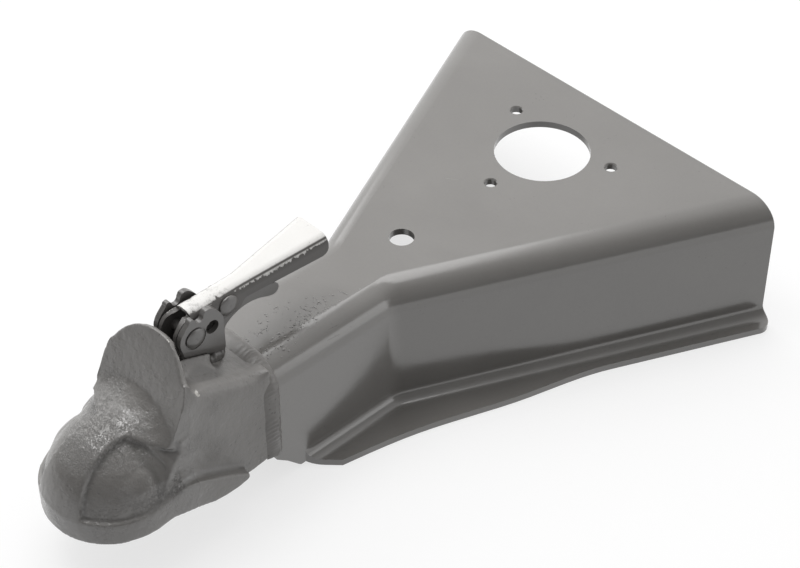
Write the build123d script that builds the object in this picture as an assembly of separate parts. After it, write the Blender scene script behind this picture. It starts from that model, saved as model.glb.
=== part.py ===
from build123d import *
import math
import os

# Trailer coupling head: a folded steel A-frame bracket with a cast ball socket welded to its nose,
# and a wedge latch worked by a hand lever with a finger trigger.
# Frame: origin at the ball's centre, +Y towards the trailer, +X to the right side, +Z up, millimetres.

# Ball and cast head
ball_d = 58.74              # tow ball, 2 5/16 inch
ball_gap = 0.6              # radial play of the ball in its socket
dome_r = 46.0               # outside of the nose and its saddle strap
pocket_r = 42.6             # floor of the recessed pockets each side
rim_bottom = -10.5          # socket rim below the ball's centre
band_top = 7.6              # upper edge of the rim band
band_half = 44.2            # half width of the rim band behind the ball
neck_half = 35.8            # half width of the neck
neck_rear = 95.0            # seam between neck and bracket
neck_bottom = -21.5         # underside of the neck at the seam
neck_edge_r = 9.0           # rounding of the neck's upper edges
shield_foot_y = -1.8        # where the shield's front plane meets the ball's level
shield_lean = 0.46          # run of the shield backwards for each unit of height
shield_t = 4.8
shield_half = 36.3
shield_top_r = 29.4         # height of the shield's half-oval top
shield_centre_z = 60.0      # where that top begins
flare_out = 6.0             # how far the saddle flares out where it meets the shield
ramp_slope = 0.40           # rise of the neck's top towards the shield
ramp_foot_y = 84.0          # where that rise begins
strap_half = 13.6           # half width of the saddle strap over the nose

# Bracket
sheet_t = 4.8
bracket_top = 50.0
plate_rear = 432.6
flare_deg = 25.0            # each side of a 50 degree A-frame
front_half = 35.5           # outside half width of the front channel
rear_half = 146.3           # outside half width at the rear edge
top_bend_r = 19.0           # outside radius of the upper bend
foot_bend_r = 8.5           # radius of the lower bend on the flange's upper side
kink_r = 24.0               # plan radius where the walls start to flare
flange_bottom = -48.0
flange_w = 13.6             # flange beyond the wall, along the flare
jack_y = 365.0              # jack hole centre
jack_hole_d = 65.0
jack_side_x = 43.6          # two tapped holes beside the jack hole
jack_side_dy = 20.2
jack_nose_dy = -49.2        # single tapped hole ahead of the jack hole
jack_screw_core_d = 8.0     # 3/8-16 thread, core diameter
jack_screw_chamfer = 0.75
front_hole_y = 235.0
front_hole_d = 16.7

# Latch yoke and lever
pivot_y = 58.3
pivot_z = 83.6
pivot_d = 8.0
run_gap = 0.05              # radial clearance of running fits
side_gap = 0.35             # clearance between flat sides that pass each other
lever_half = 8.0            # outside half width of the lever's front
lever_rear_half = 15.2
lever_t = 2.6
lever_top_z = 97.8
lever_rear_top_z = 103.6
lever_front_y = 60.3
lever_rear_y = 160.4
lever_waist_y = 100.8       # where the lever starts to widen and rise
lever_edge_z = 87.0         # lower edge of the lever's walls behind the rivet
lever_rear_edge_z = 89.8
ear_r = 11.3
cheek_t = 3.6
head_recess = 0.5           # depth of the round recess under each pin head
yoke_tail_half = 6.0        # half width of the yoke's tail on the ramp
yoke_weld_r = 2.6
seat_gap = 0.02             # radial room of a fixed pin in its hole
cradle_half = 21.0          # half width of the cast cradle under the yoke's front
cradle_h = 7.5              # height of the cradle off the ramp
head_d = 13.6               # round heads of the pivot pin and trigger rivet
head_h = 2.0
peened_d = 9.2              # far end of the trigger rivet, peened over
peened_h = 1.3
padlock_y = 71.0
padlock_z = 84.7
padlock_d = 9.4
rivet_y = 87.1
rivet_z = 88.8
rivet_d = 6.4
trigger_half = 4.7
trigger_t = 2.2

# Wedge, clamp and draw gear inside the neck
draw_r = 11.0               # distance from pivot to draw pin
draw_deg = -55.0            # where the draw pin stands at rest, from +Y about the pivot
draw_d = 7.0
lever_open_deg = 75.0
eye_t = 6.0
eye_wall = 3.0
eye_mouth_gap = 0.45        # clearance of the eye's open front from the pivot pin
eye_slack = 1.0             # room above and below the draw pin in the eye
stem_d = 8.0
stem_depth = 18.0           # thread in the wedge
cavity_half = 24.0
cavity_front = 26.0
cavity_rear = 76.5
ceiling_z = 43.0
clamp_pin_y = 40.0
clamp_pin_z = 24.0
clamp_pin_d = 9.0
clamp_face_gap = 0.7        # radial gap between the ball and the clamp's face
clamp_lip_z = -14.0
groove_half = 30.0          # bottom of the grooves that hold the clamp pin
wedge_top = 12.0
wedge_bottom = -18.0
wedge_top_front = 52.4
wedge_taper_deg = 20.0
nut_h = 4.0
nut_af = 13.0
washer_t = 1.2
spring_wire = 1.9
spring_turns = 4.5
spring_r = 6.6              # centre line of the wire

# Weld beads
bead_w = 10.0
bead_h = 2.2

# Worked out from the above
ball_r = ball_d / 2
socket_r = ball_r + ball_gap
flare_slope = math.tan(math.radians(flare_deg))
kink_y = plate_rear - (rear_half - front_half) / flare_slope
lean_deg = math.degrees(math.atan(shield_lean))
yoke_inner = lever_half + side_gap + 0.5
yoke_half = yoke_inner + cheek_t
draw_y = pivot_y + draw_r * math.cos(math.radians(draw_deg))
draw_z = pivot_z + draw_r * math.sin(math.radians(draw_deg))
open_draw_z = pivot_z + draw_r * math.sin(math.radians(draw_deg + lever_open_deg))
wedge_travel = open_draw_z - draw_z
draw_reach = draw_r - (draw_y - pivot_y)
stem_y = draw_y + draw_reach / 2
stem_x_gap = 1.0


def ramp_z(y):
    """Height of the neck's sloping top at y."""
    return bracket_top + 1.0 + ramp_slope * (ramp_foot_y - y)


def prism_x(points, x0, x1):
    """Solid between two planes across X, with an outline of (y, z) points."""
    face = make_face(Polyline(*[(x0, y, z) for y, z in points], close=True))
    return extrude(face, x1 - x0, dir=(1, 0, 0))


def prism_z(points, z0, z1):
    """Solid between two heights, with an outline of (x, y) points."""
    face = make_face(Polyline(*[(x, y, z0) for x, y in points], close=True))
    return extrude(face, z1 - z0, dir=(0, 0, 1))


def rod_x(y, z, r, x0, x1):
    """Round rod along X."""
    rod = Cylinder(r, x1 - x0, rotation=(0, 90, 0))
    return Pos((x0 + x1) / 2, y, z) * rod


def block(x0, x1, y0, y1, z0, z1):
    """Box between two corners."""
    return Pos((x0 + x1) / 2, (y0 + y1) / 2, (z0 + z1) / 2) * Box(x1 - x0, y1 - y0, z1 - z0)


def both_sides(shape):
    """A shape with its mirror image across the middle plane."""
    return shape + mirror(shape, Plane.YZ)


def plan_path(offset):
    """Wall line on the right side, in plan, moved outwards by an offset: straight, arc, straight."""
    turn = math.radians(flare_deg)
    x0 = front_half + offset
    radius = kink_r - offset
    centre = (x0 + radius, kink_y - kink_r * math.tan(turn / 2))
    bend_end = (centre[0] - radius * math.cos(turn), centre[1] + radius * math.sin(turn))
    run = (plate_rear + 20 - bend_end[1]) / math.cos(turn)
    rear = (bend_end[0] + run * math.sin(turn), bend_end[1] + run * math.cos(turn))
    return x0, radius, centre, bend_end, rear


def wall_wire(offset, z, front=neck_rear):
    """The right wall line as a wire at a height."""
    x0, radius, centre, bend_end, rear = plan_path(offset)
    middle = math.radians(flare_deg / 2)
    arc_middle = (centre[0] - radius * math.cos(middle), centre[1] + radius * math.sin(middle))
    first = Line((x0, front, z), (x0, centre[1], z))
    bend = ThreePointArc((x0, centre[1], z), (*arc_middle, z), (*bend_end, z))
    last = Line((*bend_end, z), (*rear, z))
    return first, bend, last


def bracket_plate():
    """Flat top plate between the two upper bends."""
    first, bend, last = wall_wire(-top_bend_r, bracket_top)
    rear = last @ 1
    edge = Line(rear, (0, rear.Y, bracket_top))
    back = Line((0, rear.Y, bracket_top), (0, neck_rear, bracket_top))
    nose = Line((0, neck_rear, bracket_top), first @ 0)
    face = make_face([first, bend, last, edge, back, nose])
    return extrude(face, sheet_t, dir=(0, 0, -1))


def bracket_wall():
    """Right side of the folded sheet: upper bend, wall and lower bend, carried along the wall line."""
    inner_r = top_bend_r - sheet_t
    under_r = foot_bend_r + sheet_t
    top_c = (front_half - top_bend_r, bracket_top - top_bend_r)
    foot_c = (front_half + foot_bend_r, flange_bottom + under_r)
    half = math.sqrt(0.5)
    edges = [
        ThreePointArc(
            (top_c[0], bracket_top),
            (top_c[0] + top_bend_r * half, top_c[1] + top_bend_r * half),
            (front_half, top_c[1]),
        ),
        Line((front_half, top_c[1]), (front_half, foot_c[1])),
        ThreePointArc(
            (front_half, foot_c[1]),
            (foot_c[0] - foot_bend_r * half, foot_c[1] - foot_bend_r * half),
            (foot_c[0], foot_c[1] - foot_bend_r),
        ),
        Line((foot_c[0], foot_c[1] - foot_bend_r), (foot_c[0], flange_bottom)),
        ThreePointArc(
            (foot_c[0], flange_bottom),
            (foot_c[0] - under_r * half, foot_c[1] - under_r * half),
            (foot_c[0] - under_r, foot_c[1]),
        ),
        Line((foot_c[0] - under_r, foot_c[1]), (front_half - sheet_t, top_c[1])),
        ThreePointArc(
            (front_half - sheet_t, top_c[1]),
            (top_c[0] + inner_r * half, top_c[1] + inner_r * half),
            (top_c[0], bracket_top - sheet_t),
        ),
        Line((top_c[0], bracket_top - sheet_t), (top_c[0], bracket_top)),
    ]
    section = Plane.XZ.offset(-neck_rear) * make_face(edges)
    path = Wire(wall_wire(0, 0))
    return sweep(section, path=path)


def flange_outline(z):
    """Right flange in plan: a short slanted nose, a long easy curve past the kink, then parallel to the
    flared wall, with a rounded rear corner."""
    turn = math.radians(flare_deg)
    reach = flange_w / math.cos(turn)
    rear_x = rear_half + reach
    join = (rear_x - (plate_rear - 322.0) * flare_slope, 322.0)
    corner_y = plate_rear - 12.0
    corner = (rear_x - (plate_rear - corner_y) * flare_slope, corner_y)
    nose_start = (front_half - 1.0, 117.0)
    nose_end = (52.0, 134.5)
    return [
        Line((*nose_start, z), (*nose_end, z)),
        Spline(
            (*nose_end, z),
            (64.8, 189.4, z),
            (89.2, 258.1, z),
            (*join, z),
            tangents=((0.2, 1.0, 0), (flare_slope, 1.0, 0)),
        ),
        Line((*join, z), (*corner, z)),
        ThreePointArc((*corner, z), (corner[0] - 0.9, corner_y + 8.6, z), (rear_half + 1.5, plate_rear, z)),
        Line((rear_half + 1.5, plate_rear, z), (front_half - 1.0, plate_rear, z)),
        Line((front_half - 1.0, plate_rear, z), (*nose_start, z)),
    ]


def a_frame_bracket():
    """One folded sheet: top plate, two side walls with rounded bends, and a foot flange each side."""
    wall = bracket_wall()
    outline = make_face(flange_outline(flange_bottom))
    foot = extrude(outline, sheet_t, dir=(0, 0, 1))
    first, bend, last = wall_wire(foot_bend_r, flange_bottom)
    rear = last @ 1
    closing = [
        Line(rear, (400, rear.Y, flange_bottom)),
        Line((400, rear.Y, flange_bottom), (400, neck_rear, flange_bottom)),
        Line((400, neck_rear, flange_bottom), first @ 0),
    ]
    outside_bend = extrude(make_face([first, bend, last, *closing]), sheet_t, dir=(0, 0, 1))
    foot = foot & outside_bend
    flange_zone = extrude(outline, 60, dir=(0, 0, 1))
    first, bend, last = wall_wire(0, flange_bottom)
    rear = last @ 1
    inside = make_face(
        [
            first,
            bend,
            last,
            Line(rear, (0, rear.Y, flange_bottom)),
            Line((0, rear.Y, flange_bottom), (0, neck_rear, flange_bottom)),
            Line((0, neck_rear, flange_bottom), first @ 0),
        ]
    )
    inside_zone = extrude(inside, 120, dir=(0, 0, 1))
    wall = wall & (inside_zone + flange_zone)
    half = bracket_plate() + wall + foot
    half = half - block(-1, 400, plate_rear, plate_rear + 80, -100, 100)
    nose_cut = prism_x([(80, -90), (80, -27), (95, -27), (103.5, -34), (112, -43), (119, -49)], -1, 90)
    half = half - nose_cut
    sheet = half + mirror(half, Plane.YZ)
    top = bracket_top
    sheet = sheet - Pos(0, jack_y, top) * Cylinder(jack_hole_d / 2, 30)
    sheet = sheet - Pos(0, front_hole_y, top) * Cylinder(front_hole_d / 2, 30)
    for x, dy in ((-jack_side_x, jack_side_dy), (jack_side_x, jack_side_dy), (0, jack_nose_dy)):
        r = jack_screw_core_d / 2
        sheet = sheet - Pos(x, jack_y + dy, top) * Cylinder(r, 30)
        rim = Cone(r, r + jack_screw_chamfer, jack_screw_chamfer)
        sheet = sheet - Pos(x, jack_y + dy, top - jack_screw_chamfer / 2) * rim
    return sheet


def rim_band():
    """Band round the socket rim: a ring at the nose that runs back straight each side and tapers out."""
    x = band_half
    rear = 68.3
    nose = ThreePointArc((-x, 0, -30), (0, -dome_r, -30), (x, 0, -30))
    outline = make_face([nose, Line((x, 0, -30), (x, rear, -30)), Line((x, rear, -30), (-x, rear, -30)),
                         Line((-x, rear, -30), (-x, 0, -30))])
    plan = extrude(outline, 60, dir=(0, 0, 1))
    low = rim_bottom
    upper = Spline((-80, -60, band_top), (-80, 0, band_top + 0.5), (-80, 22, band_top + 2.0),
                   (-80, 40.4, 2.5), (-80, rear, -13.2),
                   tangents=((0, 1, 0), (0, 0.8, -0.6)))
    lower = Spline((-80, rear, -17.2), (-80, 47, -18.8), (-80, 33, -14.6), (-80, 18, low),
                   (-80, -60, low), tangents=((0, -1, -0.25), (0, -1, 0)))
    side = make_face([upper, Line((-80, rear, -13.2), (-80, rear, -17.2)), lower,
                      Line((-80, -60, low), (-80, -60, band_top))])
    return plan & extrude(side, 160, dir=(1, 0, 0))


def barrel():
    """Arched saddle from the dome back to the shield, rising towards it."""
    sections = []
    for y, radius, centre_z in ((0.0, dome_r, 0.0), (30.0, dome_r + 1.5, 7.0)):
        foot = -20.0
        arch = ThreePointArc((-radius, y, centre_z), (0, y, centre_z + radius), (radius, y, centre_z))
        sections.append(make_face([arch, Line((radius, y, centre_z), (radius, y, foot)),
                                   Line((radius, y, foot), (-radius, y, foot)),
                                   Line((-radius, y, foot), (-radius, y, centre_z))]))
    return loft(sections)


def neck_plan(z):
    """Plan of the neck: round the pocket floor's sphere, drawn in to the neck's straight sides."""
    reach = math.hypot(neck_half, 30.0)
    angle = math.atan2(30.0, neck_half) - math.acos(pocket_r / reach)
    touch = (pocket_r * math.cos(angle), pocket_r * math.sin(angle))
    nose = ThreePointArc((-touch[0], touch[1], z), (0, -pocket_r, z), (touch[0], touch[1], z))
    drawn_in = (neck_half - touch[0], 30.0 - touch[1])
    side_y = 44.0
    right = Spline((touch[0], touch[1], z), (neck_half, side_y, z), tangents=((*drawn_in, 0), (0, 1, 0)))
    left = Spline((-neck_half, side_y, z), (-touch[0], touch[1], z),
                  tangents=((0, -1, 0), (drawn_in[0], -drawn_in[1], 0)))
    points = [(neck_half, side_y), (neck_half, neck_rear), (-neck_half, neck_rear), (-neck_half, side_y)]
    lines = [Line((*a, z), (*b, z)) for a, b in zip(points, points[1:])]
    return make_face([nose, right, *lines, left])


def shield_front():
    """The shield's front plane, leaning back."""
    lean = math.radians(lean_deg)
    return Plane(origin=(0, shield_foot_y, 0), x_dir=(1, 0, 0), z_dir=(0, -math.cos(lean), math.sin(lean)))


def shield_edges():
    """The shield's outline in its own plane: straight sides that draw in a little and a half-oval top."""
    stretch = 1 / math.cos(math.radians(lean_deg))
    centre = shield_centre_z * stretch
    top = centre + shield_top_r * stretch
    rise = top - centre
    foot = 38.0 * stretch
    half = shield_half
    foot_half = neck_half + 0.2
    angles = (30.0, 60.0)
    right = [(half * math.sin(math.radians(a)), centre + rise * math.cos(math.radians(a))) for a in angles]
    left = [(-x, z) for x, z in reversed(right)]
    return [
        Spline((-half, centre), *left, (0, top), *right, (half, centre), tangents=((0, 1), (0, -1))),
        Line((half, centre), (foot_half, foot)),
        Line((foot_half, foot), (-foot_half, foot)),
        Line((-foot_half, foot), (-half, centre)),
    ]


def shield():
    """Upright rounded plate that leans back, as one prism normal to its front face."""
    return extrude(shield_front() * make_face(shield_edges()), -shield_t)


def cradle():
    """Cast shoulders that hold the round bottom of the yoke's front."""
    start = ramp_plane(pivot_y + 7.5)
    high = cradle_h
    edges = Polyline((-cradle_half, -3), (-cradle_half, 0), (-yoke_half + 0.4, high), (yoke_half - 0.4, high),
                     (cradle_half, 0), (cradle_half, -3), close=True)
    shoulders = extrude(start * make_face(edges), 26)
    shoulders = shoulders - yoke_envelope(0)
    limit = prism_x([(shield_foot_y + shield_lean * 40 + 1, 40), (shield_foot_y + shield_lean * 90 + 1, 90),
                     (90, 90), (90, 40)], -30, 30)
    return shoulders & limit


def saddle_flare():
    """Hollow flare that carries the saddle's back up into the shield's front plane."""
    front = shield_front()
    stretch = 1 / math.cos(math.radians(lean_deg))
    half = dome_r + 1.2
    rise = (dome_r + 0.9) * stretch
    centre = 5.4 * stretch
    sections = []
    for forward, out in ((0.0, flare_out), (1.8, 0.55 * flare_out), (4.6, 0.2 * flare_out), (10.0, -0.7)):
        oval = Pos(0, centre - 0.777 * forward, forward) * Ellipse(half - 0.06 * forward + out,
                                                                   rise - 0.06 * forward + out)
        sections.append(front * oval)
    flare = loft(sections)
    keep = extrude(front * make_face(shield_edges()), 40)
    return flare & keep & block(-60, 60, -60, 60, 34, 90)


def cast_head():
    """Ball socket, saddle, pockets, rim band, shield and neck: one casting."""
    dome = Sphere(dome_r)
    outer = dome + barrel()
    outer = outer & block(-60, 60, -60, 30, 0, 90)
    lean_front = prism_x([(shield_foot_y - shield_lean * 10, -10), (shield_foot_y + shield_lean * 100, 100),
                          (-90, 100), (-90, -10)], -80, 80)
    behind = block(-60, 60, 10, 60, 0, 90)
    outer = outer - (behind - lean_front)
    pocket = prism_z([(strap_half - 0.4, 0.5), (23.2, 6.4), (37.0, 11.4), (60, 11.4), (60, -60), (27, -52),
                      (19.9, -40.9), (16.6, -34.0), (14.6, -25.0), (strap_half, -12.0)], -20, 80)
    outer = outer - both_sides(pocket)
    neck = extrude(neck_plan(-30), 120, dir=(0, 0, 1))
    side = [(-50, 0), (-50, rim_bottom), (18, rim_bottom), (33, -14.6), (47, -18.0), (70, neck_bottom - 2.4),
            (80, neck_bottom - 2.0), (neck_rear, neck_bottom), (neck_rear, bracket_top), (90, bracket_top),
            (ramp_foot_y, ramp_z(ramp_foot_y)), (shield_foot_y + shield_lean * 70 + 4, 70.0),
            (shield_foot_y + shield_lean * 70, 70.0), (shield_foot_y, 0)]
    neck = neck & prism_x(side, -60, 60)
    front_limit = dome + barrel()
    front = neck & block(-60, 60, -60, 22, -40, 44)
    front = front & front_limit
    rear = neck & block(-60, 60, 22, 120, -40, 90)
    low_front = neck & block(-60, 60, -60, 22, -40, 0)
    upper = neck & block(-60, 60, 14, 22, 44, 90)
    core = Sphere(pocket_r) & block(-60, 60, -60, 60, 0, 60)
    plug = Cylinder(pocket_r, 11) & block(-60, 60, -60, 60, -10.5, 0)
    body = outer + core + low_front + front + rear + upper + plug
    body = body + rim_band() + shield() + saddle_flare() + cradle()
    spigot = block(-front_half + sheet_t + 0.3, front_half - sheet_t - 0.3, neck_rear - 5, neck_rear + 22,
                   -14, bracket_top - top_bend_r)
    spigot = spigot + block(-front_half + top_bend_r, front_half - top_bend_r, neck_rear - 5,
                            neck_rear + 22, 0, bracket_top - sheet_t - 0.4)
    body = body + spigot
    body = body - Sphere(socket_r)
    body = body - Pos(0, 0, -30) * Cylinder(socket_r, 60)
    cavity = block(-cavity_half, cavity_half, 0, cavity_rear, -60, 0)
    cavity = cavity + block(-cavity_half, cavity_half, cavity_front, cavity_rear, -1, ceiling_z)
    body = body - cavity
    groove_r = clamp_pin_d / 2 + run_gap
    groove = rod_x(clamp_pin_y, clamp_pin_z, groove_r, -groove_half, groove_half)
    groove = groove + block(-groove_half, groove_half, clamp_pin_y, cavity_rear,
                            clamp_pin_z - groove_r, clamp_pin_z + groove_r)
    body = body - groove
    body = body - block(-22, 22, 84, 130, -12, 36)
    return body - eye_slot(eye_t / 2 + stem_x_gap + 1.0)


def neck_weld():
    """Bead over the seam, up one side, over the top and down the other."""
    x = front_half
    y = neck_rear
    low = neck_bottom
    cx = x - top_bend_r
    cz = bracket_top - top_bend_r
    reach = top_bend_r * math.sqrt(0.5)
    path = Wire([
        Line((x, y, low), (x, y, cz)),
        ThreePointArc((x, y, cz), (cx + reach, y, cz + reach), (cx, y, bracket_top)),
        Line((cx, y, bracket_top), (-cx, y, bracket_top)),
        ThreePointArc((-cx, y, bracket_top), (-cx - reach, y, cz + reach), (-x, y, cz)),
        Line((-x, y, cz), (-x, y, low)),
    ])
    start = Plane(origin=(x, y, low), x_dir=(0, 1, 0), z_dir=(0, 0, 1))
    return sweep(start * Ellipse(bead_w / 2, bead_h), path=path)


def ramp_plane(y):
    """Plane across the ramp at y: local X along +X, local Y square off the ramp, normal up the ramp."""
    tilt = math.atan(ramp_slope)
    return Plane(origin=(0, y, ramp_z(y)), x_dir=(1, 0, 0), z_dir=(0, -math.cos(tilt), math.sin(tilt)))


def side_face(edges, x):
    """Face across X from edges drawn as (y, z)."""
    return Plane(origin=(x, 0, 0), x_dir=(0, 1, 0), z_dir=(1, 0, 0)) * make_face(edges)


def yoke_envelope(inset):
    """Round-bottomed bar along the ramp that fills the yoke, drawn in by an inset."""
    start = ramp_plane(pivot_y + 34.0)
    half = yoke_half - inset
    face = start * (Pos(0, yoke_half) * Circle(half) + Pos(0, yoke_half + 40) * Rectangle(2 * half, 80))
    return extrude(face, 90)


def latch_yoke():
    """Bent saddle: a base on the neck's ramp and two cheeks, each with a front horn, a scoop and a rear ear.
    The base has a tail behind and a slot for the draw eye."""
    y = pivot_y
    z = pivot_z
    horn_in = (y - 3.9, z + 12.9)
    horn_top = (y - 1.7, z + 15.0)
    horn_out = (y + 0.3, z + 13.6)
    scoop_in = (y + 0.8, z + 12.4)
    scoop_low = (y + 3.7, z + 10.0)
    scoop_out = (y + 6.9, z + 13.0)
    ear_in = (y + 7.6, z + 14.2)
    ear_corner = (y + 8.4, z + 15.4)
    ear_front = (y + 9.8, z + 15.9)
    ear_top = (y + 16.1, z + 12.6)
    rear = y + 21.5
    front = y - 6.0
    outline = [
        ThreePointArc(horn_in, horn_top, horn_out),
        Line(horn_out, scoop_in),
        ThreePointArc(scoop_in, scoop_low, scoop_out),
        Line(scoop_out, ear_in),
        ThreePointArc(ear_in, ear_corner, ear_front),
        Spline(ear_front, ear_top, (rear, z), tangents=((1.0, 0.15), (0, -1))),
        Line((rear, z), (rear, ramp_z(rear) - 3)),
        Line((rear, ramp_z(rear) - 3), (front, ramp_z(front) - 3)),
        Line((front, ramp_z(front) - 3), (front, ramp_z(front) + 2)),
        Spline((front, ramp_z(front) + 2), (y - ear_r + 1.8, z - 6.5), (y - ear_r + 0.1, z + 1.0),
               (y - 8.9, z + 7.4), horn_in, tangents=((-0.5, 1), (0.66, 0.75))),
    ]
    profile = extrude(side_face(outline, -yoke_half - 1), 2 * yoke_half + 2)
    start = ramp_plane(rear + 12)
    channel = yoke_envelope(0) - yoke_envelope(cheek_t)
    yoke = channel & profile
    tail = extrude(start * Pos(0, cheek_t / 2) * Rectangle(2 * yoke_tail_half, cheek_t), 22)
    tail = tail & block(-20, 20, rear - 4, ramp_foot_y - 0.2, 0, 100)
    yoke = yoke + tail
    yoke = yoke - rod_x(y, z, pivot_d / 2 + run_gap, -20, 20)
    yoke = yoke - rod_x(padlock_y, padlock_z, padlock_d / 2, -20, 20)
    recess = rod_x(y, z, head_d / 2 + 1.0, yoke_half - head_recess, yoke_half + 5)
    yoke = yoke - both_sides(recess)
    return yoke - eye_slot(eye_t / 2 + stem_x_gap + 0.5)


def eye_slot(half):
    """Slot that the draw eye passes through on its way up from inside the neck."""
    reach = eye_half_length() + 1.0
    return block(-half, half, stem_y - reach, stem_y + reach, ceiling_z - 1, pivot_z - 6)


def yoke_weld(side):
    """Short bead along the yoke's foot on one side."""
    y0 = pivot_y + 9.5
    y1 = pivot_y + 19.0
    x = side * (yoke_half - 2.6)
    start = (x, y0, ramp_z(y0) + 1.5)
    end = (x, y1, ramp_z(y1) + 1.5)
    run = Line(start, end)
    along = Plane(origin=start, z_dir=run % 0)
    bead = sweep(along * Circle(yoke_weld_r), path=run)
    ends = Pos(*start) * Sphere(yoke_weld_r) + Pos(*end) * Sphere(yoke_weld_r)
    return bead + ends


def domed_head(x, y, z, side, r, height):
    """Round rivet head: a short disc with a domed face, on the outside of a wall at x."""
    edges = [
        Line((0, 0), (0, height)),
        ThreePointArc((0, height), (r * 0.72, height * 0.88), (r, height * 0.45)),
        Line((r, height * 0.45), (r, 0)),
        Line((r, 0), (0, 0)),
    ]
    head = revolve(make_face(edges), Axis.Y)
    return Pos(x, y, z) * Rotation(0, 0, -90 * side) * head


def pivot_pin():
    """Pin through both cheeks and the lever, peened to round heads outside."""
    seat = yoke_half - head_recess
    pin = rod_x(pivot_y, pivot_z, pivot_d / 2, -seat, seat)
    for side in (1, -1):
        pin = pin + domed_head(side * seat, pivot_y, pivot_z, side, head_d / 2, head_h)
    return pin


def lever_shell(inset, lower):
    """Lever's rounded envelope: sections at the nose, the waist and the tail, joined in straight runs."""
    sections = []
    stations = (
        (pivot_y - 16.0, lever_half, lever_top_z, 6.6),
        (lever_waist_y, lever_half, lever_top_z, 6.6),
        (lever_rear_y + 2.0, lever_rear_half, lever_rear_top_z, 6.6),
    )
    for y, half, top, corner in stations:
        w = half - inset
        t = top - inset
        r = corner - inset
        s = r * (1 - math.sqrt(0.5))
        sections.append(make_face([
            Line((-w, y, lower), (-w, y, t - r)),
            ThreePointArc((-w, y, t - r), (-w + s, y, t - s), (-w + r, y, t)),
            Line((-w + r, y, t), (w - r, y, t)),
            ThreePointArc((w - r, y, t), (w - s, y, t - s), (w, y, t - r)),
            Line((w, y, t - r), (w, y, lower)),
            Line((w, y, lower), (-w, y, lower)),
        ]))
    return loft(sections, ruled=True)


def lever_handle():
    """Stamped channel: two ears on the pivot, walls that rise behind the trigger rivet, and a rounded top
    that widens and lifts towards the hand."""
    y = pivot_y
    z = pivot_z
    low = z - 40
    shell = lever_shell(0, low) - lever_shell(lever_t, low - 5)
    end = lever_rear_y
    edge = lever_edge_z
    tail = lever_rear_edge_z
    outline = [
        Line((lever_front_y, 120), (end, 120)),
        Line((end, 120), (end, tail + 5.0)),
        ThreePointArc((end, tail + 5.0), (end - 1.6, tail + 1.5), (end - 5.2, tail)),
        Line((end - 5.2, tail), (rivet_y + 15.5, edge)),
        Spline((rivet_y + 15.5, edge), (rivet_y + 9.5, edge - 4.5), (rivet_y + 1.0, rivet_z - 8.6),
               (draw_y + 9.5, rivet_z - 8.8), (draw_y + 5.2, draw_z - 0.6),
               tangents=((-1, 0), (-0.4, -1))),
        ThreePointArc((draw_y + 5.2, draw_z - 0.6), (draw_y + 0.6, draw_z - 5.2), (draw_y - 4.6, draw_z - 2.6)),
        ThreePointArc((draw_y - 4.6, draw_z - 2.6), (y - ear_r, z), (y - 1.0, z + ear_r - 0.05)),
        Line((y - 1.0, z + ear_r - 0.05), (lever_front_y, z + ear_r - 0.4)),
        Line((lever_front_y, z + ear_r - 0.4), (lever_front_y, 120)),
    ]
    lever = shell & extrude(side_face(outline, -30), 60)
    lever = lever - rod_x(y, z, pivot_d / 2 + run_gap, -20, 20)
    lever = lever - rod_x(draw_y, draw_z, draw_d / 2 + seat_gap, -20, 20)
    lever = lever - rod_x(rivet_y, rivet_z, rivet_d / 2 + seat_gap, -20, 20)
    return lever - rod_x(padlock_y, padlock_z, padlock_d / 2 + 0.4, -20, 20)


def draw_pin():
    """Plain pin across the lever's ears that carries the draw eye."""
    return rod_x(draw_y, draw_z, draw_d / 2, -lever_half, lever_half)


def trigger_rivet():
    """Rivet through the lever's walls that the trigger turns on."""
    pin = rod_x(rivet_y, rivet_z, rivet_d / 2, -lever_half, lever_half)
    pin = pin + domed_head(lever_half, rivet_y, rivet_z, 1, head_d / 2, head_h)
    return pin + domed_head(-lever_half, rivet_y, rivet_z, -1, peened_d / 2, peened_h)


def trigger():
    """Pressed finger trigger under the lever: a hub on the rivet, a hooked arm down to the yoke's tail and
    a curved finger piece behind."""
    y = rivet_y
    z = rivet_z
    tip = (y + 37.0, z - 12.4)
    outline = [
        ThreePointArc((y - 5.6, z - 1.0), (y - 3.6, z + 2.9), (y, z + 4.3)),
        Line((y, z + 4.3), (y + 14.0, z + 0.8)),
        Spline((y + 14.0, z + 0.8), (y + 27.0, z - 3.0), (tip[0] + 0.5, tip[1] + 4.6),
               tangents=((1, -0.2), (1, -0.25))),
        ThreePointArc((tip[0] + 0.5, tip[1] + 4.6), (tip[0] + 4.6, tip[1] + 0.4), (tip[0] + 0.4, tip[1] - 4.0)),
        Spline((tip[0] + 0.4, tip[1] - 4.0), (tip[0] - 9.0, tip[1] - 0.9), (y + 16.5, z - 11.4),
               (y + 6.5, z - 13.6), (y - 0.6, z - 18.4), tangents=((-1, 0.1), (-1, -1.1))),
        Line((y - 0.6, z - 18.4), (y - 2.6, z - 24.5)),
        Line((y - 2.6, z - 24.5), (y - 7.4, z - 24.5)),
        Line((y - 7.4, z - 24.5), (y - 7.4, z - 21.8)),
        Line((y - 7.4, z - 21.8), (y - 5.6, z - 20.4)),
        Line((y - 5.6, z - 20.4), (y - 5.6, z - 1.0)),
    ]
    plate = extrude(side_face(outline, -trigger_half), 2 * trigger_half)
    hollow = Pos(0, 0, trigger_t) * extrude(side_face(outline, -trigger_half + trigger_t),
                                            2 * (trigger_half - trigger_t))
    hollow = hollow & block(-10, 10, y - 20, y + 60, z - 17, z + 20)
    plate = plate - hollow
    open_top = block(-trigger_half + trigger_t, trigger_half - trigger_t, y - 9, y + 9, z - 3, z + 9)
    plate = plate - open_top
    return plate - rod_x(y, z, rivet_d / 2 + run_gap, -20, 20)


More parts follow.
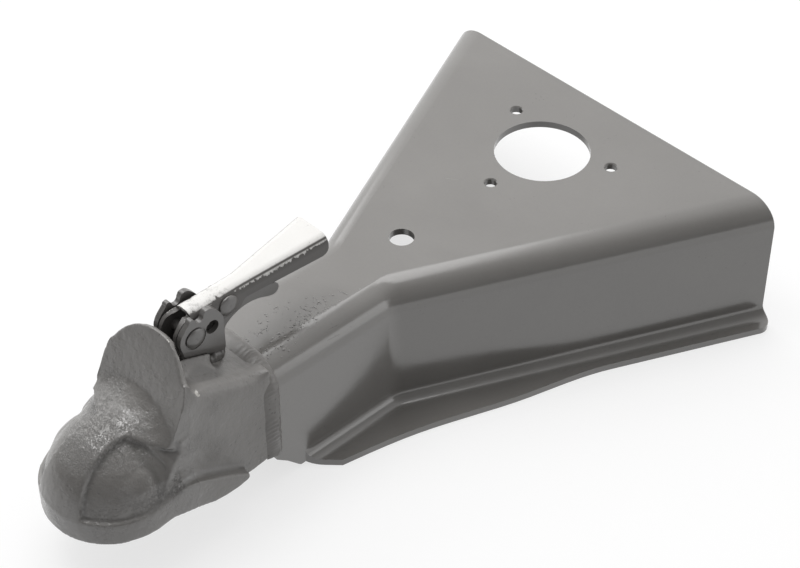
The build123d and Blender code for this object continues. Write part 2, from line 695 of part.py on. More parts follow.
def trigger_spring():
    """Torsion spring of round wire: turns round the rivet and one leg under the lever's top."""
    radius = rivet_d / 2 + 1.1
    length = 2 * (trigger_half - trigger_t) - 1.6
    coil = Helix(pitch=1.35, height=length, radius=radius)
    wire = sweep(Plane(coil @ 0, z_dir=coil % 0) * Circle(0.5), path=coil)
    return Pos(-length / 2, rivet_y, rivet_z) * Rotation(0, 90, 0) * wire


def eye_half_length():
    """Half length of the draw eye's plate."""
    return draw_reach / 2 + draw_d / 2 + 0.3 + eye_wall


def draw_eye():
    """Flat hook with an oval slot for the draw pin, open at the front so that it clears the pivot pin and
    scalloped under the padlock hole, on a round stem that screws into the wedge."""
    half = eye_half_length()
    height = draw_d / 2 + eye_slack + eye_wall
    face = Plane(origin=(-eye_t / 2, 0, 0), x_dir=(0, 1, 0), z_dir=(1, 0, 0))
    outer = face * Pos(stem_y, draw_z) * SlotOverall(2 * half, 2 * height)
    hole = face * Pos(stem_y, draw_z) * SlotOverall(2 * (half - eye_wall), 2 * (height - eye_wall))
    plate = extrude(outer, eye_t) - extrude(hole, eye_t)
    mouth = pivot_y + pivot_d / 2 + eye_mouth_gap
    plate = plate - block(-20, 20, mouth - 40, mouth, 0, 200)
    plate = plate - rod_x(padlock_y, padlock_z, padlock_d / 2 + run_gap, -20, 20)
    top = draw_z - height + eye_wall * 0.7
    foot = wedge_top - stem_depth
    stem = Pos(0, stem_y, (top + foot) / 2) * Cylinder(stem_d / 2, top - foot)
    window = extrude(hole, eye_t) + Pos(-10, 0, 0) * extrude(hole, eye_t + 20)
    return plate + (stem - window)


def hex_nut():
    """Jam nut on the stem, down on the wedge."""
    body = extrude(Pos(0, stem_y, wedge_top) * RegularPolygon(nut_af / math.sqrt(3), 6), nut_h)
    return body - Pos(0, stem_y, wedge_top) * Cylinder(stem_d / 2 + seat_gap, 40)


def spring_washer():
    """Flat seat for the wedge spring on top of the jam nut."""
    low = wedge_top + nut_h
    ring = Pos(0, stem_y, low + washer_t / 2) * Cylinder(spring_r + spring_wire, washer_t)
    return ring - Pos(0, stem_y, low) * Cylinder(stem_d / 2 + 0.2, 20)


def wedge_spring():
    """Compression spring round the stem, between its washer and the neck's ceiling."""
    low = wedge_top + nut_h + washer_t + spring_wire / 2 + 0.05
    high = ceiling_z - spring_wire / 2 - 0.05
    coil = Helix(pitch=(high - low) / spring_turns, height=high - low, radius=spring_r)
    wire = sweep(Plane(coil @ 0, z_dir=coil % 0) * Circle(spring_wire / 2), path=coil)
    return Pos(0, stem_y, low) * wire


def wedge_front(z):
    """Y of the wedge's sloping front face at a height."""
    return wedge_top_front + (wedge_top - z) * math.tan(math.radians(wedge_taper_deg))


def wedge():
    """Wedge between the clamp and the neck's rear wall, tapped for the stem."""
    half = cavity_half - 0.5
    outline = [(wedge_front(wedge_top), wedge_top), (cavity_rear - side_gap, wedge_top),
               (cavity_rear - side_gap, wedge_bottom), (wedge_front(wedge_bottom), wedge_bottom)]
    body = prism_x(outline, -half, half)
    return body - Pos(0, stem_y, wedge_top) * Cylinder(stem_d / 2 + seat_gap, 2 * stem_depth)


def ball_clamp():
    """Jaw behind the ball: a hub on its pin, a hollow face round the ball and a back that the wedge bears on."""
    half = cavity_half - 0.5
    gap = side_gap / math.cos(math.radians(wedge_taper_deg))
    y = clamp_pin_y
    z = clamp_pin_z
    hub = clamp_pin_d / 2 + 4.0
    back_top = (wedge_front(wedge_top) - gap, wedge_top)
    back_low = (wedge_front(clamp_lip_z) - gap, clamp_lip_z)
    outline = [(y - hub, z), (20.0, 4.0), (20.0, clamp_lip_z), back_low, back_top, (y + hub, z)]
    body = prism_x(outline, -half, half) + rod_x(y, z, hub, -half, half)
    body = body - Sphere(ball_r + clamp_face_gap)
    body = body - Pos(0, 0, -30) * Cylinder(ball_r - 3.0, 60)
    head_wall = block(-40, 40, 0, cavity_front + side_gap, 0, 60) - Sphere(socket_r - side_gap)
    body = body - head_wall
    return body - rod_x(y, z, clamp_pin_d / 2 + run_gap, -40, 40)


def clamp_pin():
    """Pin that the clamp swings on, in the grooves inside the neck."""
    return rod_x(clamp_pin_y, clamp_pin_z, clamp_pin_d / 2, -groove_half + 0.3, groove_half - 0.3)


def pin_keeper(side):
    """Square key that fills one groove behind the clamp pin and keeps it forward."""
    x0 = cavity_half + 0.2
    x1 = groove_half - 0.2
    high = clamp_pin_d / 2 - 0.1
    key = block(x0, x1, clamp_pin_y + clamp_pin_d / 2 + 0.2, cavity_rear - 0.2,
                clamp_pin_z - high, clamp_pin_z + high)
    return key if side > 0 else mirror(key, Plane.YZ)


os.makedirs("parts", exist_ok=True)
pieces = {
    "a_frame_bracket": a_frame_bracket(),
    "cast_head": cast_head(),
    "neck_weld": neck_weld(),
    "latch_yoke": latch_yoke(),
    "yoke_weld_right": yoke_weld(1),
    "yoke_weld_left": yoke_weld(-1),
    "pivot_pin": pivot_pin(),
    "lever_handle": lever_handle(),
    "draw_pin": draw_pin(),
    "trigger_rivet": trigger_rivet(),
    "trigger": trigger(),
    "trigger_spring": trigger_spring(),
    "draw_eye": draw_eye(),
    "jam_nut": hex_nut(),
    "spring_washer": spring_washer(),
    "wedge_spring": wedge_spring(),
    "wedge": wedge(),
    "ball_clamp": ball_clamp(),
    "clamp_pin": clamp_pin(),
    "pin_keeper_right": pin_keeper(1),
    "pin_keeper_left": pin_keeper(-1),
}
fixed = pieces["a_frame_bracket"] + pieces["cast_head"]
pieces["neck_weld"] = pieces["neck_weld"] - fixed
for name in ("yoke_weld_right", "yoke_weld_left"):
    pieces[name] = pieces[name] - pieces["cast_head"] - pieces["latch_yoke"]
for name, piece in pieces.items():
    export_step(piece, f"parts/{name}.step")
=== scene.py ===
"""Looks of a trailer coupling head: a folded A-frame bracket, a rough cast ball socket with an upright
shield, a weld bead over the seam, and a hand lever with a finger trigger in a bent yoke."""

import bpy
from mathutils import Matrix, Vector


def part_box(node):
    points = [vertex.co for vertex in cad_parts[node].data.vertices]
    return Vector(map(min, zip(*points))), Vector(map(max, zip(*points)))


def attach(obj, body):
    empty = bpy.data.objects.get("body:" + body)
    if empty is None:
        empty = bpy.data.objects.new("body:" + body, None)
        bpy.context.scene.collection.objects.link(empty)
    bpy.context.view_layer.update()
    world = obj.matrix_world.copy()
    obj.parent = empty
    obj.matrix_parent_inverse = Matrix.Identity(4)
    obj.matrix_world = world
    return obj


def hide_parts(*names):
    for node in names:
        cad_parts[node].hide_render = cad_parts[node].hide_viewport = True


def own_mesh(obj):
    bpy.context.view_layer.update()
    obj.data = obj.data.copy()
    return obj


bl_info = {
    "name": "Trailer Coupling Head",
    "version": (1, 0, 0),
    "blender": (4, 5, 0),
    "location": "View3D > Sidebar > Coupler",
    "description": "Builds the finished surfaces of a cast and folded trailer coupling head",
    "category": "Object",
}

import math

import bmesh
import bpy
import numpy as np
from bpy.props import FloatProperty, FloatVectorProperty, IntProperty, PointerProperty
from mathutils import Matrix, Vector

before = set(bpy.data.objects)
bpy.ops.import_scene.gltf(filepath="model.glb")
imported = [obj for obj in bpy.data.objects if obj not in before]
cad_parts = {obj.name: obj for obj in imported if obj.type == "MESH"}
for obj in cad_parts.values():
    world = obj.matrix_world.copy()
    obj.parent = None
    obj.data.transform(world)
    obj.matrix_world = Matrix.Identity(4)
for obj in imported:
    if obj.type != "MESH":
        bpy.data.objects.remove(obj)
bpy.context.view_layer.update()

# Bracket and seam, in metres like every length below
SHEET_LOW, SHEET_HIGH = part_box("a_frame_bracket")
PLATE_TOP = SHEET_HIGH.z
FLOOR_Z = SHEET_LOW.z
WELD_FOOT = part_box("neck_weld")[0].z
SEAM_Y = 0.095
FRONT_HALF = 0.0355
BEND_R = 0.019

# Weld bead: rows along it, points across its top, height, depth of its underside, reach over the casting and
# over the sheet, and how far its edges wander
BEAD_ROWS = 620
BEAD_COLUMNS = 25
BEAD_HEIGHT = 0.00215
BEAD_SUNK = 0.0004
REACH_OVER_CASTING = 0.0080
REACH_OVER_SHEET = 0.0047
WANDER = 0.0005

# Spatter: where its nests lie, as (across, along), how wide they scatter, and the size of a drop
NESTS = np.array([(0.0185, 0.118), (0.0175, 0.145), (0.0215, 0.108), (0.0165, 0.131), (0.006, 0.112),
                  (-0.002, 0.128), (0.0145, 0.160), (0.009, 0.146)])
SCATTER_ACROSS = 0.0035
SCATTER_ALONG = 0.0075
SPATTER_START_Y = 0.1012
DROP_SIZES = (0.00022, 0.0006)
DROP_RINGS = 5
DROP_SIDES = 10

# Casting: the solid's own places and sizes
BALL_R = 0.0300
SOCKET_WALL = 0.0012
CAVITY_HALF = 0.0252
CAVITY_FRONT_Y = 0.022
CAVITY_REAR_Y = 0.0775
CAVITY_TOP_Z = 0.0442
CEILING_Z = 0.0430
CEILING_HALF = 0.0262
CEILING_FRONT_Y = 0.020
CEILING_REAR_Y = 0.079
CEILING_NEAR = 0.0007
RIM_Z = -0.011
NECK_END_Y = 0.0955
SEAT_HALF = 0.0136
SEAT_FRONT_Y = 0.050
SEAT_REAR_Y = 0.085
SEAT_Z = 0.049
DOME_INNER_R = 0.0375
DOME_OUTER_R = 0.0468
SHIELD_LEAN = 0.46
SHIELD_FRONT_Y = -0.0080
SHIELD_REAR_Y = 0.0072
SHIELD_HALF = 0.0363
SHIELD_OVAL_Z = 0.060
SHIELD_OVAL_HEIGHT = 0.0327

# Casting: how far its skin is swollen, filled or lifted
BULGE_R = 0.0408
BULGE_RISE = 0.0030
BARREL_R = 0.0424
BARREL_RISE = 0.0045
BARREL_HALF = 0.0410
SHIELD_LIFT = 0.0033
SHIELD_LIFT_Z = 0.058
SHIELD_LIFT_HEIGHT = 0.0314
SHIELD_ROOM = 0.02
SHIELD_MARGIN = 0.0003
GROOVE_FRONT_Y = -0.001
GROOVE_REAR_Y = 0.0128

# Casting: the bends that count as a worn edge and as an inward bend with painted shade, and where that shade
# and crust end
EDGE_BEND = 0.0006
CREASE_SHADE_BEND = 0.00035
CREASE_SHADE_REAR_Y = 0.093
SADDLE_TOP_Z = 0.056
POCKET_REAR_Y = 0.02

# Casting: zones, each as smooth steps (measure, from, to) whose product is its weight. A step whose second
# limit is the smaller fades out. wide is the distance from the middle plane.
ZONES = {
    "neck": (("y", 0.038, 0.048),),
    "pads beside the seat": (("y", 0.038, 0.048), ("wide", 0.0125, 0.015), ("z", 0.050, 0.053)),
    "neck's upper edge": (("y", 0.037, 0.046), ("y", 0.0935, 0.087), ("wide", 0.022, 0.028),
                          ("z", 0.034, 0.042)),
    "side bulge": (("wide", 0.022, 0.035), ("y", -0.034, -0.012), ("z", 0.006, 0.021)),
    "barrel": (("y", 0.000, 0.0125),),
    "groove": (("wide", 0.015, 0.023), ("z", 0.002, 0.008)),
    "mouth's sides": (("wide", 0.010, 0.018),),
    "mouth": (("y", 0.018, 0.013), ("z", -0.010, -0.004)),
    "ledge": (("y", 0.004, 0.020), ("y", 0.090, 0.080), ("wide", 0.031, 0.034), ("z", -0.0125, -0.0085),
              ("z", 0.030, 0.016)),
    "rear of the dome": (("y", -0.001, 0.009), ("y", 0.032, 0.024), ("wide", 0.024, 0.029),
                         ("z", 0.036, 0.027), ("z", -0.0125, -0.0085)),
    "left shoulder": (("y", 0.003, 0.010), ("y", 0.030, 0.023), ("x", -0.022, -0.030), ("z", 0.022, 0.030),
                      ("z", 0.056, 0.048)),
    "back of the shield": (("y", 0.026, 0.032), ("y", 0.060, 0.052), ("wide", 0.019, 0.024),
                           ("z", 0.044, 0.050), ("z", 0.078, 0.070)),
    "behind the shield": (("y", 0.040, 0.062),),
    "below the shield": (("z", 0.042, 0.032),),
    "right side": (("x", -0.005, 0.012),),
    "above the dome": (("z", 0.044, 0.050),),
    "top of the saddle": (("y", 0.018, -0.002), ("z", 0.028, 0.040)),
    "pockets": (("wide", 0.036, 0.041), ("z", 0.024, 0.014), ("z", 0.004, 0.012)),
}

# Lever: where its top starts to rise and widen, where that ends, and its heights and half widths there. Its
# inside starts this far in from the sides and under the top.
LEVER_WAIST_Y = 0.1008
LEVER_REAR_Y = 0.1624
LEVER_TOP_Z = 0.0978
LEVER_TOP_RISE = 0.0058
LEVER_HALF = 0.008
LEVER_HALF_RISE = 0.0072
LEVER_INSIDE = 0.0015
LEVER_UNDER = 0.0016

# Stage: lamps as (name, place, watts, width, depth), all turned to one point, and the camera's place and turn
LAMPS = (
    ("key", (-2.24, 0.30, 1.35), 15.0, 2.0, 2.0),
    ("overhead", (-0.40, 0.48, 1.60), 10.0, 1.0, 1.45),
    ("crown", (-0.58, -0.16, 1.60), 6.5, 0.55, 0.55),
    ("side", (1.45, 1.35, 0.30), 6.0, 1.1, 1.1),
)
LAMP_TARGET = (0.0, 0.19, 0.0)
CAMERA_PLACE = (0.7368, -0.4628, 0.9088)
CAMERA_AZIMUTH = 46.619
CAMERA_ELEVATION = 41.530
CAMERA_ROLL = -0.123
SENSOR_WIDTH = 36.0
FLOOR_HALF = 3.0
WHITE = (1.0, 1.0, 1.0, 1.0)

# Settings that the properties share
COLOUR = dict(subtype="COLOR", size=4, min=0.0, max=1.0)
LENGTH = dict(unit="LENGTH", subtype="DISTANCE")


class BracketLook(bpy.types.PropertyGroup):
    paint: FloatVectorProperty(
        name="Paint", description="Grey paint of the folded sheet", default=(0.168, 0.161, 0.152, 1.0),
        **COLOUR)
    edge_round: FloatProperty(
        name="Edge rounding", description="Rounding of the sheet's cut edges", default=0.0011, min=0.0,
        **LENGTH)


class CastingLook(bpy.types.PropertyGroup):
    paint: FloatVectorProperty(
        name="Paint", description="Grey paint over the casting", default=(0.160, 0.153, 0.145, 1.0), **COLOUR)
    cell: FloatProperty(
        name="Cell", description="Grid size of the casting's surface", default=0.00098, min=0.0005, **LENGTH)
    lumps: FloatProperty(
        name="Lumps", description="Depth of the sand casting's unevenness", default=0.00035, min=0.0,
        **LENGTH)
    seed: IntProperty(name="Seed", description="Seed of the unevenness", default=7, min=0)


class WeldLook(bpy.types.PropertyGroup):
    pitch: FloatProperty(
        name="Ripple pitch", description="Distance between ripples of the bead", default=0.0034, min=0.0005,
        **LENGTH)
    spatter: IntProperty(
        name="Spatter", description="Number of spatter drops beside the seam", default=190, min=0)
    seed: IntProperty(name="Seed", description="Seed of the spatter", default=11, min=0)


class LatchLook(bpy.types.PropertyGroup):
    paint: FloatVectorProperty(
        name="Paint", description="Dark grey paint of yoke, pins and trigger",
        default=(0.098, 0.093, 0.088, 1.0), **COLOUR)
    bright: FloatVectorProperty(
        name="Bright top", description="Bright smooth cover on the lever's top",
        default=(0.70, 0.69, 0.67, 1.0), **COLOUR)
    edge_round: FloatProperty(
        name="Edge rounding", description="Rounding of pressed edges", default=0.0006, min=0.0, **LENGTH)


class StageLook(bpy.types.PropertyGroup):
    floor: FloatVectorProperty(
        name="Floor", description="Pale floor", default=(0.86, 0.86, 0.86, 1.0), **COLOUR)
    lens: FloatProperty(name="Lens", description="Focal length in millimetres", default=93.71, min=10.0)


# Node helpers

def add_node(tree, kind, inputs=None, **settings):
    """Adds a node; an input is a constant, or an output socket that gets linked."""
    made = tree.nodes.new(kind)
    for key, value in settings.items():
        setattr(made, key, value)
    for key, value in (inputs or {}).items():
        if isinstance(value, bpy.types.NodeSocket):
            tree.links.new(value, made.inputs[key])
        else:
            made.inputs[key].default_value = value
    return made


def math_node(tree, operation, a, b=0.0):
    return add_node(tree, "ShaderNodeMath", {0: a, 1: b}, operation=operation).outputs[0]


def plus(tree, a, b):
    return math_node(tree, "ADD", a, b)


def minus(tree, a, b):
    return math_node(tree, "SUBTRACT", a, b)


def times(tree, a, b):
    return math_node(tree, "MULTIPLY", a, b)


def larger(tree, a, b):
    return math_node(tree, "MAXIMUM", a, b)


def size_of(tree, a):
    return math_node(tree, "ABSOLUTE", a)


def remap(tree, value, low, high, out_low=0.0, out_high=1.0, smooth=False):
    """Clamped change of range from low..high to out_low..out_high, straight or by a smooth step."""
    made = add_node(tree, "ShaderNodeMapRange", {
        "Value": value, "From Min": low, "From Max": high, "To Min": out_low, "To Max": out_high})
    made.clamp = True
    if smooth:
        made.interpolation_type = "SMOOTHSTEP"
    return made.outputs["Result"]


def mix_colour(tree, factor, a, b, blend="MIX"):
    """Mixes two colours; the Mix node's colour sockets have the numbers 6 and 7, and 2 for the result."""
    made = tree.nodes.new("ShaderNodeMix")
    made.data_type = "RGBA"
    made.blend_type = blend
    made.clamp_factor = True
    for socket, value in ((made.inputs[0], factor), (made.inputs[6], a), (made.inputs[7], b)):
        if isinstance(value, bpy.types.NodeSocket):
            tree.links.new(value, socket)
        else:
            socket.default_value = value
    return made.outputs[2]


def tinted(tree, colour, tone):
    """A colour times a tone about 1."""
    return mix_colour(tree, 1.0, colour, tone, "MULTIPLY")


def dimmed(colour, share):
    return [c * share for c in colour[:3]] + [1.0]


def noise(tree, vector, scale, detail=2.0, roughness=0.5, distortion=0.0):
    return add_node(tree, "ShaderNodeTexNoise", {
        "Vector": vector, "Scale": scale, "Detail": detail, "Roughness": roughness,
        "Distortion": distortion}).outputs["Fac"]


def dots(tree, vector, scale, inner, outer):
    """Round spots on a scattered grid: 1 within inner of each cell's point, 0 beyond outer."""
    cells = add_node(tree, "ShaderNodeTexVoronoi", {"Vector": vector, "Scale": scale})
    return remap(tree, cells.outputs["Distance"], inner, outer, 1.0, 0.0, True)


def axes(tree, vector):
    return add_node(tree, "ShaderNodeSeparateXYZ", {0: vector}).outputs


def attribute(tree, label):
    return add_node(tree, "ShaderNodeAttribute", attribute_name=label).outputs["Fac"]


def new_group(name, knob, default, *results):
    """A node group that takes a Vector and one number, knob, and gives numbers. The values returned are its
    tree, its two inputs and its outputs."""
    tree = bpy.data.node_groups.new(name, "ShaderNodeTree")
    tree.interface.new_socket("Vector", in_out="INPUT", socket_type="NodeSocketVector")
    tree.interface.new_socket(knob, in_out="INPUT", socket_type="NodeSocketFloat").default_value = default
    for label in results:
        tree.interface.new_socket(label, in_out="OUTPUT", socket_type="NodeSocketFloat")
    start = tree.nodes.new("NodeGroupInput").outputs
    return tree, start["Vector"], start[knob], tree.nodes.new("NodeGroupOutput").inputs


def tone_drift():
    """Tone of an uneven coat: wide soft clouds and a fine grain, about 1."""
    tree, vector, amount, end = new_group("Tone Drift", "Amount", 0.12, "Tone", "Clouds")
    wide = noise(tree, vector, scale=14.0, detail=3.0, roughness=0.55, distortion=0.4)
    fine = noise(tree, vector, scale=420.0, detail=2.0, roughness=0.6)
    both = plus(tree, times(tree, wide, 0.75), times(tree, fine, 0.25))
    swing = times(tree, minus(tree, both, 0.5), amount)
    tree.links.new(plus(tree, times(tree, swing, 4.0), 1.0), end["Tone"])
    tree.links.new(wide, end["Clouds"])
    return tree


def sprayed_paint():
    """Height of sprayed paint: a fine orange peel with small pits, and a mask of those pits."""
    tree, vector, pits, end = new_group("Sprayed Paint", "Pits", 0.5, "Height", "Specks")
    peel = noise(tree, vector, scale=650.0)
    coarse = noise(tree, vector, scale=160.0)
    patches = remap(tree, noise(tree, vector, scale=60.0), 0.58, 0.72)
    specks = times(tree, dots(tree, vector, 330.0, 0.10, 0.24), patches)
    high = plus(tree, times(tree, peel, 0.45), times(tree, coarse, 0.8))
    tree.links.new(minus(tree, high, times(tree, specks, pits)), end["Height"])
    tree.links.new(specks, end["Specks"])
    return tree


def hairlines():
    """Mask of a few hairline scratches, straight lines in the plane X, Y that fade at both ends: a point is
    on a line where its distance off it is small, and its distance along it from the middle is under half a
    length."""
    tree, vector, amount, end = new_group("Hairlines", "Amount", 0.5, "Mask")
    place = axes(tree, vector)
    total = 0.0
    for x, y, angle, length in ((0.0305, 0.119, 1.46, 0.016), (0.0325, 0.147, 1.52, 0.012),
                                (0.0290, 0.150, 1.50, 0.010), (-0.020, 0.300, 0.60, 0.014)):
        dx = minus(tree, place["X"], x)
        dy = minus(tree, place["Y"], y)
        along = plus(tree, times(tree, dx, math.cos(angle)), times(tree, dy, math.sin(angle)))
        off = minus(tree, times(tree, dy, math.cos(angle)), times(tree, dx, math.sin(angle)))
        thin = remap(tree, size_of(tree, off), 0.00008, 0.00022, 1.0, 0.0, True)
        near = remap(tree, size_of(tree, along), length * 0.3, length * 0.5, 1.0, 0.0, True)
        total = larger(tree, total, times(tree, thin, near))
    above = remap(tree, place["Z"], 0.030, 0.034)
    tree.links.new(times(tree, times(tree, total, above), amount), end["Mask"])
    return tree


def cast_skin():
    """Skin of a sand casting: rounded lumps, a crackled crust in patches, and pores. The crackle is where a
    folded noise comes near its middle value. The cracks and pores also give a mask for painted shade."""
    tree, vector, crust, end = new_group("Cast Skin", "Crust", 0.0, "Height", "Hollow Shade", "Clouds")
    clouds = noise(tree, vector, scale=38.0, detail=3.0, roughness=0.55)
    lumps = noise(tree, vector, scale=210.0, detail=3.0, roughness=0.55, distortion=0.2)
    grain = noise(tree, vector, scale=820.0, detail=2.0, roughness=0.6)
    fold = noise(tree, vector, scale=430.0, detail=3.0, roughness=0.6, distortion=1.2)
    ridge = remap(tree, size_of(tree, minus(tree, fold, 0.5)), 0.0, 0.07, 0.0, 1.0, True)
    pores = times(tree, dots(tree, vector, 240.0, 0.12, 0.28), remap(tree, clouds, 0.5, 0.6))
    high = plus(tree, times(tree, lumps, 1.5), times(tree, grain, 0.28))
    high = plus(tree, high, times(tree, times(tree, ridge, crust), 0.7))
    tree.links.new(minus(tree, high, times(tree, pores, 0.5)), end["Height"])
    # Mask for painted shade in the crackle's grooves and in the pores
    crack_shade = times(tree, minus(tree, 1.0, ridge), crust)
    tree.links.new(larger(tree, crack_shade, times(tree, pores, 0.7)), end["Hollow Shade"])
    tree.links.new(clouds, end["Clouds"])
    return tree


SHARED_GROUPS = {}


def use_group(tree, maker, **inputs):
    """Places a shared node group, which is made when it is first asked for, and gives its outputs."""
    if maker not in SHARED_GROUPS:
        SHARED_GROUPS[maker] = maker()
    return add_node(tree, "ShaderNodeGroup", inputs, node_tree=SHARED_GROUPS[maker]).outputs


# Materials

def new_material(name):
    """An empty material with an output, a Principled shader and object coordinates."""
    made = bpy.data.materials.new(name)
    made.use_nodes = True
    tree = made.node_tree
    tree.nodes.clear()
    output = tree.nodes.new("ShaderNodeOutputMaterial")
    shader = tree.nodes.new("ShaderNodeBsdfPrincipled")
    tree.links.new(shader.outputs[0], output.inputs["Surface"])
    place = tree.nodes.new("ShaderNodeTexCoord").outputs["Object"]
    return made, tree, shader, place


def feed(tree, shader, colour, rough, height, strength, distance, specular=0.5):
    """Feeds a Principled shader with a colour, a roughness and a height for its bump."""
    tree.links.new(colour, shader.inputs["Base Color"])
    tree.links.new(rough, shader.inputs["Roughness"])
    bump = add_node(tree, "ShaderNodeBump", {"Strength": strength, "Distance": distance, "Height": height})
    tree.links.new(bump.outputs["Normal"], shader.inputs["Normal"])
    shader.inputs["Specular IOR Level"].default_value = specular


def painted_sheet(name, colour, roughness=0.17, pits=0.4, scratches=0.6, drift=0.07):
    """Semi-gloss grey paint over smooth sheet metal."""
    made, tree, shader, place = new_material(name)
    tone = use_group(tree, tone_drift, Vector=place, Amount=drift)
    peel = use_group(tree, sprayed_paint, Vector=place, Pits=pits)
    lines = use_group(tree, hairlines, Vector=place, Amount=scratches)["Mask"]
    base = tinted(tree, colour, tone["Tone"])
    base = mix_colour(tree, times(tree, peel["Specks"], 0.55), base, dimmed(colour, 0.62))
    base = mix_colour(tree, times(tree, lines, 0.6), base, dimmed(colour, 0.4))
    rough = remap(tree, tone["Clouds"], 0.3, 0.7, roughness - 0.03, roughness + 0.05)
    rough = plus(tree, rough, times(tree, lines, 0.15))
    high = minus(tree, peel["Height"], times(tree, lines, 0.3))
    feed(tree, shader, base, rough, high, strength=0.35, distance=0.00012, specular=1.0)
    return made


def cast_paint(name, colour):
    """Grey paint over a rough casting, worn pale on the sharp edges, with painted shade where the skin bends
    inward and in its cracks and pores. It is glossier on the dome than on the neck."""
    made, tree, shader, place = new_material(name)
    skin = use_group(tree, cast_skin, Vector=place, Crust=attribute(tree, "crust"))
    tone = use_group(tree, tone_drift, Vector=place, Amount=0.12)
    base = tinted(tree, colour, tone["Tone"])
    # Painted shade: darker in the skin's cracks and pores
    base = mix_colour(tree, times(tree, skin["Hollow Shade"], 0.5), base, dimmed(colour, 0.45))
    ragged = noise(tree, place, scale=300.0, detail=4.0, roughness=0.7)
    chip = remap(tree, plus(tree, attribute(tree, "edge"), times(tree, ragged, 0.9)), 1.20, 1.34)
    base = mix_colour(tree, chip, base, (0.50, 0.485, 0.455, 1.0))
    # Painted shade: darker where the skin bends inward
    base = mix_colour(tree, times(tree, attribute(tree, "crease_shade"), 0.4), base, dimmed(colour, 0.22))
    rough = remap(tree, skin["Clouds"], 0.3, 0.7, 0.17, 0.29)
    rough = plus(tree, rough, remap(tree, axes(tree, place)["Y"], 0.020, 0.045, 0.0, 0.20, True))
    feed(tree, shader, base, rough, skin["Height"], strength=0.72, distance=0.0005, specular=0.9)
    return made


def weld_paint(name, colour):
    """Paint over a weld bead: the bead's own ripples show, with fine grit and pinholes."""
    made, tree, shader, place = new_material(name)
    skin = use_group(tree, cast_skin, Vector=place, Crust=0.0)
    tone = use_group(tree, tone_drift, Vector=place, Amount=0.16)
    base = tinted(tree, colour, tone["Tone"])
    # Painted shade: darker in the bead's cracks and pinholes
    base = mix_colour(tree, times(tree, skin["Hollow Shade"], 0.8), base, dimmed(colour, 0.35))
    rough = remap(tree, skin["Clouds"], 0.3, 0.7, 0.26, 0.44)
    feed(tree, shader, base, rough, skin["Height"], strength=0.6, distance=0.0003, specular=0.55)
    return made


def oily_metal(name, colour, roughness, metal, oxide):
    """Turned or drawn metal with an oily dark film in patches."""
    made, tree, shader, place = new_material(name)
    tone = use_group(tree, tone_drift, Vector=place, Amount=0.2)
    peel = use_group(tree, sprayed_paint, Vector=place, Pits=0.6)
    film = remap(tree, tone["Clouds"], 0.42, 0.62, 0.0, oxide)
    base = mix_colour(tree, film, tinted(tree, colour, tone["Tone"]), (0.06, 0.048, 0.038, 1.0))
    rough = remap(tree, tone["Clouds"], 0.3, 0.7, roughness, roughness + 0.2)
    shader.inputs["Metallic"].default_value = metal
    feed(tree, shader, base, rough, peel["Height"], strength=0.4, distance=0.0001)
    return made


def lever_paint(name, bright, dark):
    """Bright smooth top with a ragged edge of dark overspray, dark inside and underneath. The overspray
    starts about 3 mm below the top, less by the pivot, along a line broken up by two noises, with dust above
    it."""
    made, tree, shader, place = new_material(name)
    tone = use_group(tree, tone_drift, Vector=place, Amount=0.05)["Tone"]
    peel = use_group(tree, sprayed_paint, Vector=place, Pits=0.3)
    drawn_out = add_node(tree, "ShaderNodeVectorMath", {0: place, 1: (1.0, 1.0, 0.18)}, operation="MULTIPLY")
    spikes = noise(tree, drawn_out.outputs[0], scale=330.0, detail=3.0, roughness=0.65)
    waves = noise(tree, place, scale=55.0)
    ragged = plus(tree, times(tree, minus(tree, spikes, 0.5), 0.0075),
                  times(tree, minus(tree, waves, 0.5), 0.004))
    front = remap(tree, axes(tree, place)["Y"], 0.092, 0.100, 0.0012, 0.0)
    line = plus(tree, plus(tree, attribute(tree, "depth"), ragged), front)
    cover = larger(tree, remap(tree, line, 0.0030, 0.0033), attribute(tree, "inner"))
    shade = tinted(tree, dark, tone)
    grit = plus(tree, line, times(tree, noise(tree, place, scale=1400.0, detail=1.0), 0.004))
    base = mix_colour(tree, remap(tree, grit, 0.0034, 0.0056, 0.0, 0.4), tinted(tree, bright, tone), shade)
    base = mix_colour(tree, cover, base, shade)
    high = plus(tree, times(tree, peel["Height"], 0.5), times(tree, cover, 0.6))
    feed(tree, shader, base, remap(tree, cover, 0.0, 1.0, 0.50, 0.33), high, strength=0.4, distance=0.00012)
    return made


# Mesh helpers

def new_piece(name, data, material):
    """A smooth mesh at the origin with one material."""
    data.polygons.foreach_set("use_smooth", np.full(len(data.polygons), True))
    data.materials.clear()
    data.materials.append(material)
    made = bpy.data.objects.new(name, data)
    bpy.context.scene.collection.objects.link(made)
    return made


def surface_piece(name, verts, faces, body, slot, material):
    """A piece from arrays of points and faces, that rides on a body."""
    data = bpy.data.meshes.new(name)
    data.from_pydata(np.asarray(verts, dtype=float).tolist(), [], [list(map(int, f)) for f in faces])
    data.validate()
    made = new_piece(name, data, material)
    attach(made, body)
    return made


def merged_copy(node, name, dissolve):
    """One welded mesh of a CAD node, with faces that turn by less than dissolve degrees joined up."""
    work = bmesh.new()
    work.from_mesh(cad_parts[node].data)
    bmesh.ops.remove_doubles(work, verts=work.verts[:], dist=2e-6)
    if dissolve:
        bmesh.ops.dissolve_limit(work, angle_limit=math.radians(dissolve), verts=work.verts[:],
                                 edges=work.edges[:])
    bmesh.ops.recalc_face_normals(work, faces=work.faces[:])
    data = bpy.data.meshes.new(name)
    work.to_mesh(data)
    work.free()
    return data


